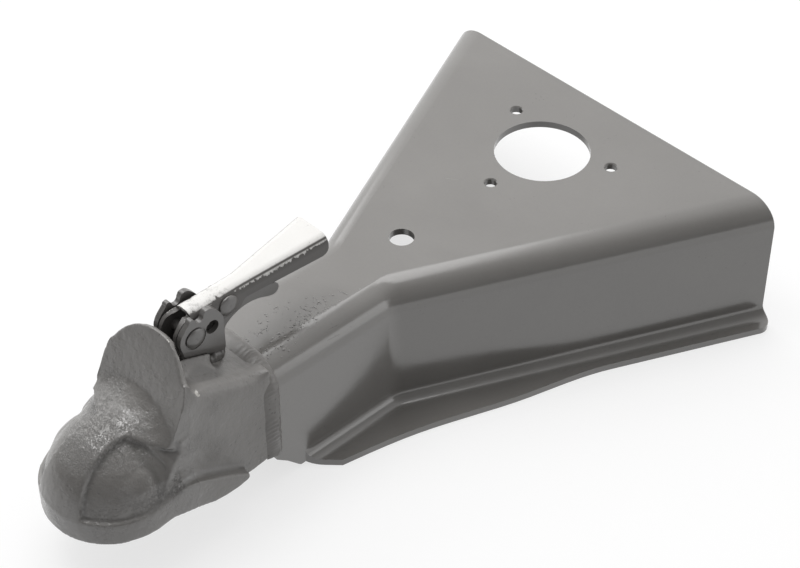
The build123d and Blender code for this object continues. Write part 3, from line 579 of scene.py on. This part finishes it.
def dressed(node, name, body, material, edge_round, dissolve=0.8):
    """A CAD node as a piece with a finish, and with its sharp edges rounded where edge_round isn't 0."""
    data = merged_copy(node, name, dissolve)
    made = new_piece(name, data, material)
    if edge_round > 0:
        bevel = made.modifiers.new("Edges", "BEVEL")
        bevel.width = edge_round
        bevel.segments = 2
        bevel.limit_method = "ANGLE"
        bevel.angle_limit = math.radians(38)
        bevel.miter_outer = "MITER_ARC"
        level = made.modifiers.new("Flats", "WEIGHTED_NORMAL")
        level.mode = "FACE_AREA"
        level.weight = 100
        level.thresh = 0.005
    else:
        data.set_sharp_from_angle(angle=math.radians(35))
    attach(made, body)
    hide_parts(node)
    return made


def point_values(data, values):
    """Stores named values on a mesh's points, for the materials to read."""
    for label, numbers in values.items():
        stored = data.attributes.new(label, "FLOAT", "POINT")
        stored.data.foreach_set("value", numbers.astype(np.float32))


def read_points(data):
    place = np.empty(len(data.vertices) * 3)
    data.vertices.foreach_get("co", place)
    return place.reshape(-1, 3)


def tube_faces(rows, around):
    """Quads between rows of points that close on themselves, and the two end faces."""
    r, c = np.meshgrid(np.arange(rows - 1), np.arange(around), indexing="ij")
    c1 = (c + 1) % around
    quads = np.stack([r * around + c, r * around + c1, (r + 1) * around + c1, (r + 1) * around + c], axis=-1)
    ends = [list(range(around))[::-1], list(range((rows - 1) * around, rows * around))]
    return quads.reshape(-1, 4), ends


def value_noise(points, scale, seed):
    """Smooth noise from -1 to 1: random values on a lattice, blended between its corners by 3t^2 - 2t^3."""
    cells = 32
    table = np.random.default_rng(seed).uniform(-1, 1, (cells, cells, cells))
    p = points * scale + 1000.0
    i = np.floor(p).astype(int)
    f = p - i
    f = f * f * (3 - 2 * f)
    total = np.zeros(len(points))
    for corner in np.ndindex(2, 2, 2):
        weight = np.prod(np.where(corner, f, 1 - f), axis=1)
        total += weight * table[tuple(((i + corner) % cells).T)]
    return total


def smooth_step(value, low, high):
    """3t^2 - 2t^3 of the value's share t of the way from low to high; it falls where high is the smaller."""
    t = np.clip((value - low) / (high - low), 0, 1)
    return t * t * (3 - 2 * t)


def between(value, low, high):
    return (value > low) & (value < high)


# Pieces

class COUPLER_OT_bracket(bpy.types.Operator):
    """Folded A-frame bracket with its paint"""
    bl_idname = "coupler.bracket"
    bl_label = "Bracket"

    def execute(self, context):
        look = context.scene.bracket_look
        paint = painted_sheet("bracket_paint", tuple(look.paint))
        dressed("a_frame_bracket", "bracket_sheet", "frame", paint, look.edge_round)
        return {"FINISHED"}


def voxel_copy(node, cell):
    """A CAD node's mesh rebuilt on an even grid."""
    rough = bpy.data.objects.new("rough", merged_copy(node, "rough", 0))
    bpy.context.scene.collection.objects.link(rough)
    remesh = rough.modifiers.new("Remesh", "REMESH")
    remesh.mode = "VOXEL"
    remesh.voxel_size = cell
    bpy.context.view_layer.update()
    depsgraph = bpy.context.evaluated_depsgraph_get()
    fine = bpy.data.meshes.new_from_object(rough.evaluated_get(depsgraph), depsgraph=depsgraph)
    data = rough.data
    bpy.data.objects.remove(rough)
    bpy.data.meshes.remove(data)
    return fine


class Skin:
    """A mesh's points with what smoothing needs: their neighbours' mean and their normals."""

    def __init__(self, data):
        self.data = data
        self.count = len(data.vertices)
        edges = np.empty(len(data.edges) * 2, dtype=int)
        data.edges.foreach_get("vertices", edges)
        self.edges = edges.reshape(-1, 2)
        self.degree = np.bincount(edges, minlength=self.count).astype(float)

    def mean(self, values):
        """Mean of each point's neighbours: sum over its edges divided by their number."""
        out = np.empty_like(values)
        first, second = self.edges.T
        for k in range(values.shape[1]):
            total = np.bincount(first, weights=values[second, k], minlength=self.count)
            total += np.bincount(second, weights=values[first, k], minlength=self.count)
            out[:, k] = total / self.degree
        return out

    def eased(self, points, share, steps):
        """Moves each point by its share of the way to its neighbours' mean, steps times."""
        for _ in range(steps):
            points = points + (self.mean(points) - points) * share[:, None]
        return points

    def normals(self, points):
        self.data.vertices.foreach_set("co", points.ravel())
        self.data.update()
        out = np.empty(self.count * 3)
        self.data.vertex_normals.foreach_get("vector", out)
        return out.reshape(-1, 3)


def measures(place):
    x, y, z = place.T
    return {"x": x, "y": y, "z": z, "wide": np.abs(x)}


def zone(name, at):
    """Weight of a zone at the measured points: the product of its smooth steps."""
    weight = 1.0
    for measure, low, high in ZONES[name]:
        weight = weight * smooth_step(at[measure], low, high)
    return weight


def free_share(at):
    """How far each point may move: not at all in the ball's socket, in the cavity and behind the seam, a
    little under the yoke, and freely elsewhere."""
    x, y, z, wide = at["x"], at["y"], at["z"], at["wide"]
    socket = np.sqrt(x ** 2 + y ** 2 + z ** 2) < BALL_R + SOCKET_WALL
    cavity = (wide < CAVITY_HALF) & between(y, CAVITY_FRONT_Y, CAVITY_REAR_Y) & (z < CAVITY_TOP_Z)
    seat = (wide < SEAT_HALF) & between(y, SEAT_FRONT_Y, SEAT_REAR_Y) & (z > SEAT_Z)
    share = np.where(socket | cavity | (y > NECK_END_Y), 0.0, 1.0)
    return np.where(seat, 0.25, share)


def swollen(place, free):
    """The side bulge stands out to a radius that grows with the zone's weight. The groove behind it is filled
    out to a barrel about the Y axis, which is cut off flat at the neck's flank."""
    at = measures(place)
    ball = np.sqrt(at["x"] ** 2 + at["y"] ** 2 + at["z"] ** 2)
    dome = (free > 0) & between(ball, DOME_INNER_R, DOME_OUTER_R) & (at["z"] > RIM_Z)
    wanted = np.where(dome, BULGE_R + BULGE_RISE * zone("side bulge", at), 0.0)
    place = place * np.where(wanted > ball, wanted / np.maximum(ball, 0.001), 1.0)[:, None]

    at = measures(place)
    barrel = np.sqrt(at["x"] ** 2 + at["z"] ** 2)
    wanted = BARREL_R + BARREL_RISE * zone("barrel", at)
    wanted = np.minimum(wanted, BARREL_HALF * barrel / np.maximum(at["wide"], 0.001))
    wanted = barrel + (wanted - barrel) * zone("groove", at)
    groove = between(at["y"], GROOVE_FRONT_Y, GROOVE_REAR_Y)
    filled = (free > 0) & groove & (barrel > DOME_INNER_R) & (wanted > barrel)
    grow = np.where(filled, wanted / np.maximum(barrel, 0.001), 1.0)
    return place * np.stack([grow, np.ones(len(grow)), grow], axis=1)


def raised_shield(place, at):
    """The shield's top is a little higher than a half oval: its points move along its lean by the square of
    their height over the lift's start."""
    y, z = at["y"], at["z"]
    lean = SHIELD_LEAN * z
    shield = between(y, SHIELD_FRONT_Y + lean, SHIELD_REAR_Y + lean) & (z > SHIELD_LIFT_Z)
    share = np.clip(z - SHIELD_LIFT_Z, 0, 1) / SHIELD_LIFT_HEIGHT
    lift = np.where(shield, SHIELD_LIFT * share ** 2, 0.0)
    return place + lift[:, None] * np.array([0.0, SHIELD_LEAN, 1.0])


def filled_hollows(skin, place, share):
    """Ledges are filled to soft hollows: only the outward moves of a strong smoothing are kept."""
    full = skin.eased(place, 0.6 * share, 46)
    direction = skin.normals(place)
    out = np.clip(np.einsum("ij,ij->i", full - place, direction), 0, None)
    return place + direction * out[:, None]


def kept_in(place, free):
    """Behind the shield the neck keeps within the shield's own outline: |x| stays under the half oval
    half width * sqrt(1 - (height / oval height)^2), wider further back and lower down. The cavity's ceiling
    keeps its height."""
    at = measures(place)
    high = np.clip(at["z"] - SHIELD_OVAL_Z, 0, 0.033) / SHIELD_OVAL_HEIGHT
    oval = SHIELD_HALF * np.sqrt(np.clip(1 - high ** 2, 0.04, 1)) + SHIELD_MARGIN
    oval = oval + SHIELD_ROOM * zone("behind the shield", at) + SHIELD_ROOM * zone("below the shield", at)
    wide = np.where(free > 0, np.minimum(at["wide"], oval), at["wide"])
    over = (wide < CEILING_HALF) & between(at["y"], CEILING_FRONT_Y, CEILING_REAR_Y)
    ceiling = over & (np.abs(at["z"] - CEILING_Z) < CEILING_NEAR)
    z = np.where(ceiling, np.maximum(at["z"], CEILING_Z), at["z"])
    return np.stack([np.sign(at["x"]) * wide, at["y"], z], axis=1)


class COUPLER_OT_casting(bpy.types.Operator):
    """Cast ball socket with its rounded, uneven surface"""
    bl_idname = "coupler.casting"
    bl_label = "Casting"

    def execute(self, context):
        """Swell, smooth, fill, and then sink the skin by seeded noise. The bend, which is how far a strong
        smoothing would move a point, gives the worn edges and where painted shade goes in the inward bends."""
        look = context.scene.casting_look
        data = voxel_copy("cast_head", look.cell)
        skin = Skin(data)
        place = read_points(data)
        at = measures(place)
        free = free_share(at)
        neck = zone("neck", at)
        brow = np.maximum(zone("pads beside the seat", at), zone("neck's upper edge", at))
        mouth = free * zone("mouth's sides", at)

        place = swollen(place, free)
        at = measures(place)
        mouth = mouth * zone("mouth", at)
        start = raised_shield(place, at)
        place = skin.eased(start, 0.55 * free, 3)
        place = skin.eased(place, 0.55 * free * np.maximum(neck, mouth), 5)
        place = skin.eased(place, 0.55 * free * neck, 10)
        place = skin.eased(place, 0.55 * free * brow, 162)
        flat = skin.eased(place, 0.6 * free, 7)

        ledges = ("ledge", "rear of the dome", "left shoulder", "back of the shield")
        place = filled_hollows(skin, place, free * np.max([zone(name, at) for name in ledges], axis=0))
        place = kept_in(place, free)

        at = measures(place)
        normal = skin.normals(place)
        uneven = 0.6 * value_noise(place, 95.0, look.seed) + 0.4 * value_noise(place, 260.0, look.seed + 1)
        inward = look.lumps * (0.5 + 0.5 * uneven) * free
        bend = np.einsum("ij,ij->i", start - flat, normal)
        for _ in range(2):
            bend = skin.mean(bend[:, None])[:, 0]
        place = place - normal * inward[:, None]
        data.vertices.foreach_set("co", place.ravel())
        data.update()

        worn = smooth_step(value_noise(place, 120.0, look.seed + 2), -0.1, 0.5) * zone("right side", at)
        shield = zone("above the dome", at) * (1 - neck)
        crust = zone("top of the saddle", at) * (at["z"] < SADDLE_TOP_Z)
        crust = crust + 0.8 * zone("pockets", at) * (at["y"] < POCKET_REAR_Y)
        crust = crust + 0.3 * smooth_step(value_noise(place, 60.0, look.seed + 4), 0.2, 0.6)
        # The last value marks where the skin bends inward, for painted shade there
        point_values(data, {
            "edge": np.clip(bend / EDGE_BEND, 0, 1) * worn * (0.35 + 0.65 * shield) * free,
            "crust": np.clip(crust, 0, 1) * free,
            "crease_shade": np.clip(-bend / CREASE_SHADE_BEND, 0, 1) * free * (at["y"] < CREASE_SHADE_REAR_Y)})
        piece = new_piece("casting", data, cast_paint("casting_paint", tuple(look.paint)))
        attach(piece, "frame")
        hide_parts("cast_head")
        return {"FINISHED"}


def seam_path(count):
    """Points and outward directions along the bead's foot: up one wall, round the bend, over the top and down
    the other wall, at equal steps of length s. The second half mirrors the first."""
    straight = PLATE_TOP - BEND_R - WELD_FOOT
    quarter = BEND_R * math.pi / 2
    total = 2 * straight + 2 * quarter + 2 * (FRONT_HALF - BEND_R)
    s = np.linspace(0, total, count)
    half = np.minimum(s, total - s)
    side = np.where(s < total / 2, 1.0, -1.0)
    wall = half <= straight
    top = half > straight + quarter
    angle = np.where(wall, 0.0, np.where(top, math.pi / 2, (half - straight) / BEND_R))
    nx = np.where(top, 0.0, np.cos(angle))
    nz = np.where(wall, 0.0, np.sin(angle))
    x = np.where(top, FRONT_HALF - BEND_R - (half - straight - quarter), FRONT_HALF - BEND_R + BEND_R * nx)
    z = np.where(wall, WELD_FOOT + half, PLATE_TOP - BEND_R + BEND_R * nz)
    return s, x * side, z, nx * side, nz


def bead_surface(look):
    """The bead over the seam: P(s, w) = seam(s) + y along Y + h outwards, for w from -1 to 1 across it.
    y = w (reach - |wander|) + wander (1 - |w|) / 2.
    h = height * profile * (0.80 + 0.035 ripple (1 + swell) + 0.07 rough + 0.11 swell), the bracket held
    between 0 and 1. profile is 1 - w^2 to the power 1.1 over the casting and 0.55 over the sheet, and ripple
    is cos(2 pi (s / pitch + w^2 / 2 + 0.9 drift)). wander, drift, rough and swell are value noise. The
    underside is the same grid with h = -sunk * profile."""
    s, x, z, nx, nz = seam_path(BEAD_ROWS)
    w = np.sin(np.linspace(-math.pi / 2, math.pi / 2, BEAD_COLUMNS))
    s, w = np.meshgrid(s, w, indexing="ij")
    spot = np.stack([s.ravel(), w.ravel() * 0.005, np.zeros(s.size)], axis=1)

    def spot_noise(stretch, scale, seed):
        return value_noise(spot * stretch, scale, look.seed + seed).reshape(s.shape)

    drift = spot_noise([1, 0, 0], 70.0, 0)
    rough = spot_noise([1, 1, 1], 420.0, 1)
    swell = spot_noise([1, 0.4, 0], 110.0, 2)
    wander = WANDER * spot_noise([1, 0, 0], 150.0, 3)
    ripple = np.cos(2 * math.pi * (s / look.pitch + 0.5 * w ** 2 + 0.9 * drift))
    profile = np.clip(1 - w ** 2, 0, 1) ** np.where(w < 0, 1.1, 0.55)
    high = np.clip(0.80 + 0.035 * ripple * (1 + swell) + 0.07 * rough + 0.11 * swell, 0, 1)
    high = BEAD_HEIGHT * profile * high
    reach = np.where(w < 0, REACH_OVER_CASTING, REACH_OVER_SHEET)
    y = SEAM_Y + w * (reach - np.abs(wander)) + 0.5 * wander * (1 - np.abs(w))

    def raised(h):
        return np.stack([x[:, None] + nx[:, None] * h, y, z[:, None] + nz[:, None] * h], axis=-1)

    under = raised(-BEAD_SUNK * profile)
    ring = np.concatenate([raised(high), under[:, ::-1][:, 1:-1]], axis=1)
    quads, ends = tube_faces(BEAD_ROWS, ring.shape[1])
    return ring.reshape(-1, 3), quads.tolist() + ends


def spatter_drops(look):
    """Half balls, flattened and stretched at random, that sit on the plate and the bend: on the bend a drop
    at distance u past its start stands at the angle u / bend radius, and is turned by it."""
    rng = np.random.default_rng(look.seed)
    count = look.spatter
    nest = NESTS[rng.integers(0, len(NESTS), count)]
    across = nest[:, 0] + rng.normal(0, SCATTER_ACROSS, count)
    along = np.maximum(nest[:, 1] + rng.normal(0, SCATTER_ALONG, count), SPATTER_START_Y)
    size = rng.uniform(*DROP_SIZES, count) * np.where(rng.uniform(0, 1, count) > 0.9, 1.6, 1.0)
    stretch = np.stack([rng.uniform(0.8, 1.3, count), rng.uniform(0.8, 1.6, count), np.ones(count)], axis=1)
    start = FRONT_HALF - BEND_R
    turn = np.clip((across - start) / BEND_R, 0, 1.2)
    centre = np.stack([np.where(turn > 0, start + BEND_R * np.sin(turn), across), along,
                       PLATE_TOP - BEND_R + BEND_R * np.cos(turn)], axis=1)
    lat = np.linspace(0, math.pi / 2, DROP_RINGS)
    lon = np.linspace(0, 2 * math.pi, DROP_SIDES + 1)[:-1]
    lat, lon = np.meshgrid(lat, lon, indexing="ij")
    unit = np.stack([np.cos(lat) * np.cos(lon), np.cos(lat) * np.sin(lon), 0.7 * np.sin(lat) - 0.12], axis=-1)
    drops = unit.reshape(-1, 3)[None] * size[:, None, None] * stretch[:, None]
    sine, cosine = np.sin(turn)[:, None], np.cos(turn)[:, None]
    drops = np.stack([drops[..., 0] * cosine + drops[..., 2] * sine, drops[..., 1],
                      drops[..., 2] * cosine - drops[..., 0] * sine], axis=-1) + centre[:, None]
    quads = tube_faces(DROP_RINGS, DROP_SIDES)[0]
    faces = quads[None] + (np.arange(count) * DROP_RINGS * DROP_SIDES)[:, None, None]
    return drops.reshape(-1, 3), faces.reshape(-1, 4)


class COUPLER_OT_weld(bpy.types.Operator):
    """Rippled weld bead over the seam, and the spatter beside it"""
    bl_idname = "coupler.weld"
    bl_label = "Weld"

    def execute(self, context):
        look = context.scene.weld_look
        paint = weld_paint("weld_paint", tuple(context.scene.casting_look.paint))
        bead = surface_piece("weld_bead", *bead_surface(look), "frame", "weld_paint", paint)
        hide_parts("neck_weld")
        sheet = painted_sheet("spatter_paint", tuple(context.scene.bracket_look.paint), roughness=0.3)
        surface_piece("weld_spatter", *spatter_drops(look), "frame", "weld_paint", sheet)
        return {"FINISHED"}


def lumpy_bead(node):
    """A short bead in the node's box: P(s, a) = axis(s) + r (cos a, sin a), r = half width (1 + 0.14 n(s, a)
    + 0.03 cos(2 pi (s / 3.1 mm + 0.1 sin a))) (1 - |2 s / length - 1|^5)^0.5, where n is value noise."""
    low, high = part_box(node)
    rows, columns = 60, 22
    length = high.y - low.y
    s = np.linspace(0.004, 0.996, rows)[:, None]
    a = np.linspace(0, 2 * math.pi, columns + 1)[:-1][None]
    y = low.y + length * s + 0 * a
    spot = np.stack([np.cos(a) * 0.002 + 0 * s, y, np.sin(a) * 0.002 + 0 * s], axis=-1).reshape(-1, 3)
    lumps = value_noise(spot, 330.0, 3).reshape(rows, columns)
    swell = 1 + 0.14 * lumps + 0.03 * np.cos(2 * math.pi * (s * length / 0.0031 + 0.1 * np.sin(a)))
    taper = np.sqrt(np.clip(1 - np.abs(2 * s - 1) ** 5, 0.01, 1))
    x = (low.x + high.x) / 2 + (high.x - low.x) / 2 * swell * taper * np.cos(a)
    z = (low.z + high.z) / 2 + (high.z - low.z) / 2 * swell * taper * np.sin(a)
    quads, ends = tube_faces(rows, columns)
    return np.stack([x, y, z], axis=-1).reshape(-1, 3), quads[:, ::-1].tolist() + [end[::-1] for end in ends]


class COUPLER_OT_latch(bpy.types.Operator):
    """Yoke, its welds, pins and the trigger"""
    bl_idname = "coupler.latch"
    bl_label = "Latch"

    def execute(self, context):
        look = context.scene.latch_look
        grey = tuple(look.paint)
        paint = painted_sheet("latch_paint", grey, roughness=0.30, pits=0.9, scratches=0.0, drift=0.14)
        dressed("latch_yoke", "yoke_sheet", "frame", paint, look.edge_round)
        bead = weld_paint("yoke_bead_paint", grey)
        for side in ("right", "left"):
            node = "yoke_weld_" + side
            made = surface_piece("yoke_bead_" + side, *lumpy_bead(node), "frame", "weld_paint", bead)
            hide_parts(node)
        pin = painted_sheet("pin_paint", grey, roughness=0.30, pits=0.6, scratches=0.0, drift=0.14)
        dressed("pivot_pin", "pivot_pin_head", "frame", pin, 0.0003)
        dressed("trigger_rivet", "rivet_heads", "lever", pin, 0.0003)
        dressed("trigger", "finger_trigger_sheet", "finger_trigger", paint, 0.0005)
        return {"FINISHED"}


class COUPLER_OT_lever(bpy.types.Operator):
    """Hand lever with its bright top and ragged dark overspray"""
    bl_idname = "coupler.lever"
    bl_label = "Lever"

    def execute(self, context):
        """Its points hold their depth below the top, and whether they are on the channel's inside."""
        look = context.scene.latch_look
        paint = lever_paint("lever_finish", tuple(look.bright), tuple(look.paint))
        made = dressed("lever_handle", "lever_sheet", "lever", paint, look.edge_round)
        x, y, z = read_points(made.data).T
        along = np.clip((y - LEVER_WAIST_Y) / (LEVER_REAR_Y - LEVER_WAIST_Y), 0, 1)
        depth = LEVER_TOP_Z + LEVER_TOP_RISE * along - z
        half = LEVER_HALF + LEVER_HALF_RISE * along
        inner = (np.abs(x) < half - LEVER_INSIDE) & (depth > LEVER_UNDER)
        point_values(made.data, {"depth": depth, "inner": inner})
        return {"FINISHED"}


class COUPLER_OT_works(bpy.types.Operator):
    """Draw gear, ball clamp and keepers inside the casting"""
    bl_idname = "coupler.works"
    bl_label = "Inner works"

    def execute(self, context):
        steel = oily_metal("plain_steel", (0.44, 0.42, 0.39, 1.0), roughness=0.32, metal=1.0, oxide=0.35)
        iron = oily_metal("cast_iron", (0.13, 0.12, 0.11, 1.0), roughness=0.5, metal=0.6, oxide=0.5)
        of_steel = ("draw_pin", "draw_eye", "jam_nut", "spring_washer", "trigger_spring", "clamp_pin",
                    "pin_keeper_right", "pin_keeper_left")
        for material, nodes in ((steel, of_steel), (iron, ("wedge", "ball_clamp"))):
            for name in nodes:
                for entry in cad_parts[name].material_slots:
                    entry.material = material
        # The coil stands under the head's ceiling, on the frame, with a mesh of its own
        coil = dressed("wedge_spring", "wedge_coil", "frame", steel, 0.0, 0.0)
        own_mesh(coil)
        return {"FINISHED"}


def floor_material(colour):
    """White to reflections, near white with a soft shadow to the camera, and dull to everything else."""
    made, tree, shader, place = new_material("floor")
    shader.inputs["Base Color"].default_value = colour
    shader.inputs["Roughness"].default_value = 0.9
    shader.inputs["Specular IOR Level"].default_value = 0.0
    path = tree.nodes.new("ShaderNodeLightPath").outputs
    dull = add_node(tree, "ShaderNodeBsdfDiffuse", {"Color": (0.30, 0.30, 0.30, 1.0)}).outputs[0]
    glow = add_node(tree, "ShaderNodeEmission", {"Color": WHITE, "Strength": 1.0}).outputs[0]
    sheen = add_node(tree, "ShaderNodeEmission", {"Color": WHITE, "Strength": 1.1}).outputs[0]
    lit = add_node(tree, "ShaderNodeMixShader", {0: 0.30, 1: glow, 2: shader.outputs[0]}).outputs[0]
    other = add_node(tree, "ShaderNodeMixShader", {0: path["Is Glossy Ray"], 1: dull, 2: sheen}).outputs[0]
    mixed = add_node(tree, "ShaderNodeMixShader", {0: path["Is Camera Ray"], 1: other, 2: lit}).outputs[0]
    output = next(n for n in tree.nodes if n.type == "OUTPUT_MATERIAL")
    tree.links.new(mixed, output.inputs["Surface"])
    return made


def studio_world():
    """White behind the object, and a soft light that grows towards the back, the left and above."""
    world = bpy.data.worlds.new("studio")
    world.use_nodes = True
    tree = world.node_tree
    tree.nodes.clear()
    path = tree.nodes.new("ShaderNodeLightPath").outputs
    toward = axes(tree, tree.nodes.new("ShaderNodeTexCoord").outputs["Generated"])
    rear = plus(tree, toward["Y"], times(tree, toward["X"], -0.75))
    rear = plus(tree, rear, times(tree, toward["Z"], 0.6))
    level = remap(tree, rear, -0.25, 1.3, 0.26, 1.15, True)
    fill = add_node(tree, "ShaderNodeBackground", {"Color": WHITE, "Strength": level}).outputs[0]
    white = add_node(tree, "ShaderNodeBackground", {"Color": WHITE, "Strength": 1.0}).outputs[0]
    mixed = add_node(tree, "ShaderNodeMixShader", {0: path["Is Camera Ray"], 1: fill, 2: white}).outputs[0]
    tree.links.new(mixed, tree.nodes.new("ShaderNodeOutputWorld").inputs["Surface"])
    return world


def add_lamp(name, place, watts, width, depth):
    lamp = bpy.data.lights.new(name, "AREA")
    lamp.energy = watts
    lamp.shape = "RECTANGLE"
    lamp.size = width
    lamp.size_y = depth
    holder = bpy.data.objects.new(name, lamp)
    bpy.context.scene.collection.objects.link(holder)
    holder.location = place
    holder.rotation_euler = (Vector(LAMP_TARGET) - Vector(place)).to_track_quat("-Z", "Y").to_euler()


def add_camera(lens):
    """A camera that looks back along the direction given by its azimuth and elevation, rolled about it."""
    azimuth, elevation, roll = (math.radians(v) for v in (CAMERA_AZIMUTH, CAMERA_ELEVATION, CAMERA_ROLL))
    back = Vector((math.cos(elevation) * math.sin(azimuth), -math.cos(elevation) * math.cos(azimuth),
                   math.sin(elevation)))
    level = Vector((math.cos(azimuth), math.sin(azimuth), 0))
    over = back.cross(level)
    right = level * math.cos(roll) + over * math.sin(roll)
    up = over * math.cos(roll) - level * math.sin(roll)
    data = bpy.data.cameras.new("camera")
    data.lens = lens
    data.sensor_width = SENSOR_WIDTH
    data.clip_start = 0.01
    camera = bpy.data.objects.new("camera", data)
    bpy.context.scene.collection.objects.link(camera)
    turned = Matrix((right, up, back)).transposed().to_4x4()
    camera.matrix_world = Matrix.Translation(CAMERA_PLACE) @ turned
    bpy.context.scene.camera = camera


class COUPLER_OT_stage(bpy.types.Operator):
    """Pale floor, soft lights and the camera"""
    bl_idname = "coupler.stage"
    bl_label = "Stage"

    def execute(self, context):
        look = context.scene.stage_look
        scene = context.scene
        data = bpy.data.meshes.new("floor")
        corners = [(-FLOOR_HALF, -FLOOR_HALF), (FLOOR_HALF, -FLOOR_HALF), (FLOOR_HALF, FLOOR_HALF),
                   (-FLOOR_HALF, FLOOR_HALF)]
        data.from_pydata([(x, y, FLOOR_Z) for x, y in corners], [], [(0, 1, 2, 3)])
        data.materials.append(floor_material(tuple(look.floor)))
        floor = bpy.data.objects.new("floor", data)
        scene.collection.objects.link(floor)
        scene.world = studio_world()
        for lamp in LAMPS:
            add_lamp(*lamp)
        add_camera(look.lens)
        scene.view_settings.view_transform = "Standard"
        return {"FINISHED"}


STEPS = (COUPLER_OT_bracket, COUPLER_OT_casting, COUPLER_OT_weld, COUPLER_OT_latch, COUPLER_OT_lever,
         COUPLER_OT_works, COUPLER_OT_stage)
LOOKS = {"bracket_look": BracketLook, "casting_look": CastingLook, "weld_look": WeldLook,
         "latch_look": LatchLook, "stage_look": StageLook}


class COUPLER_PT_panel(bpy.types.Panel):
    """The coupler's pieces, in the order they are built"""
    bl_idname = "COUPLER_PT_panel"
    bl_label = "Coupler"
    bl_space_type = "VIEW_3D"
    bl_region_type = "UI"
    bl_category = "Coupler"

    def draw(self, context):
        for step in STEPS:
            self.layout.operator(step.bl_idname)
        for name in LOOKS:
            held = getattr(context.scene, name)
            for key in held.bl_rna.properties.keys():
                if key not in ("rna_type", "name"):
                    self.layout.prop(held, key)


def register():
    for look in LOOKS.values():
        bpy.utils.register_class(look)
    for step in STEPS:
        bpy.utils.register_class(step)
    bpy.utils.register_class(COUPLER_PT_panel)
    for name, look in LOOKS.items():
        setattr(bpy.types.Scene, name, PointerProperty(type=look))


def unregister():
    for name in LOOKS:
        delattr(bpy.types.Scene, name)
    bpy.utils.unregister_class(COUPLER_PT_panel)
    for step in STEPS:
        bpy.utils.unregister_class(step)
    for look in LOOKS.values():
        bpy.utils.unregister_class(look)


def main():
    register()
    for name in ("bracket", "casting", "weld", "latch", "lever", "works", "stage"):
        getattr(bpy.ops.coupler, name)()


if __name__ == "__main__":
    main()
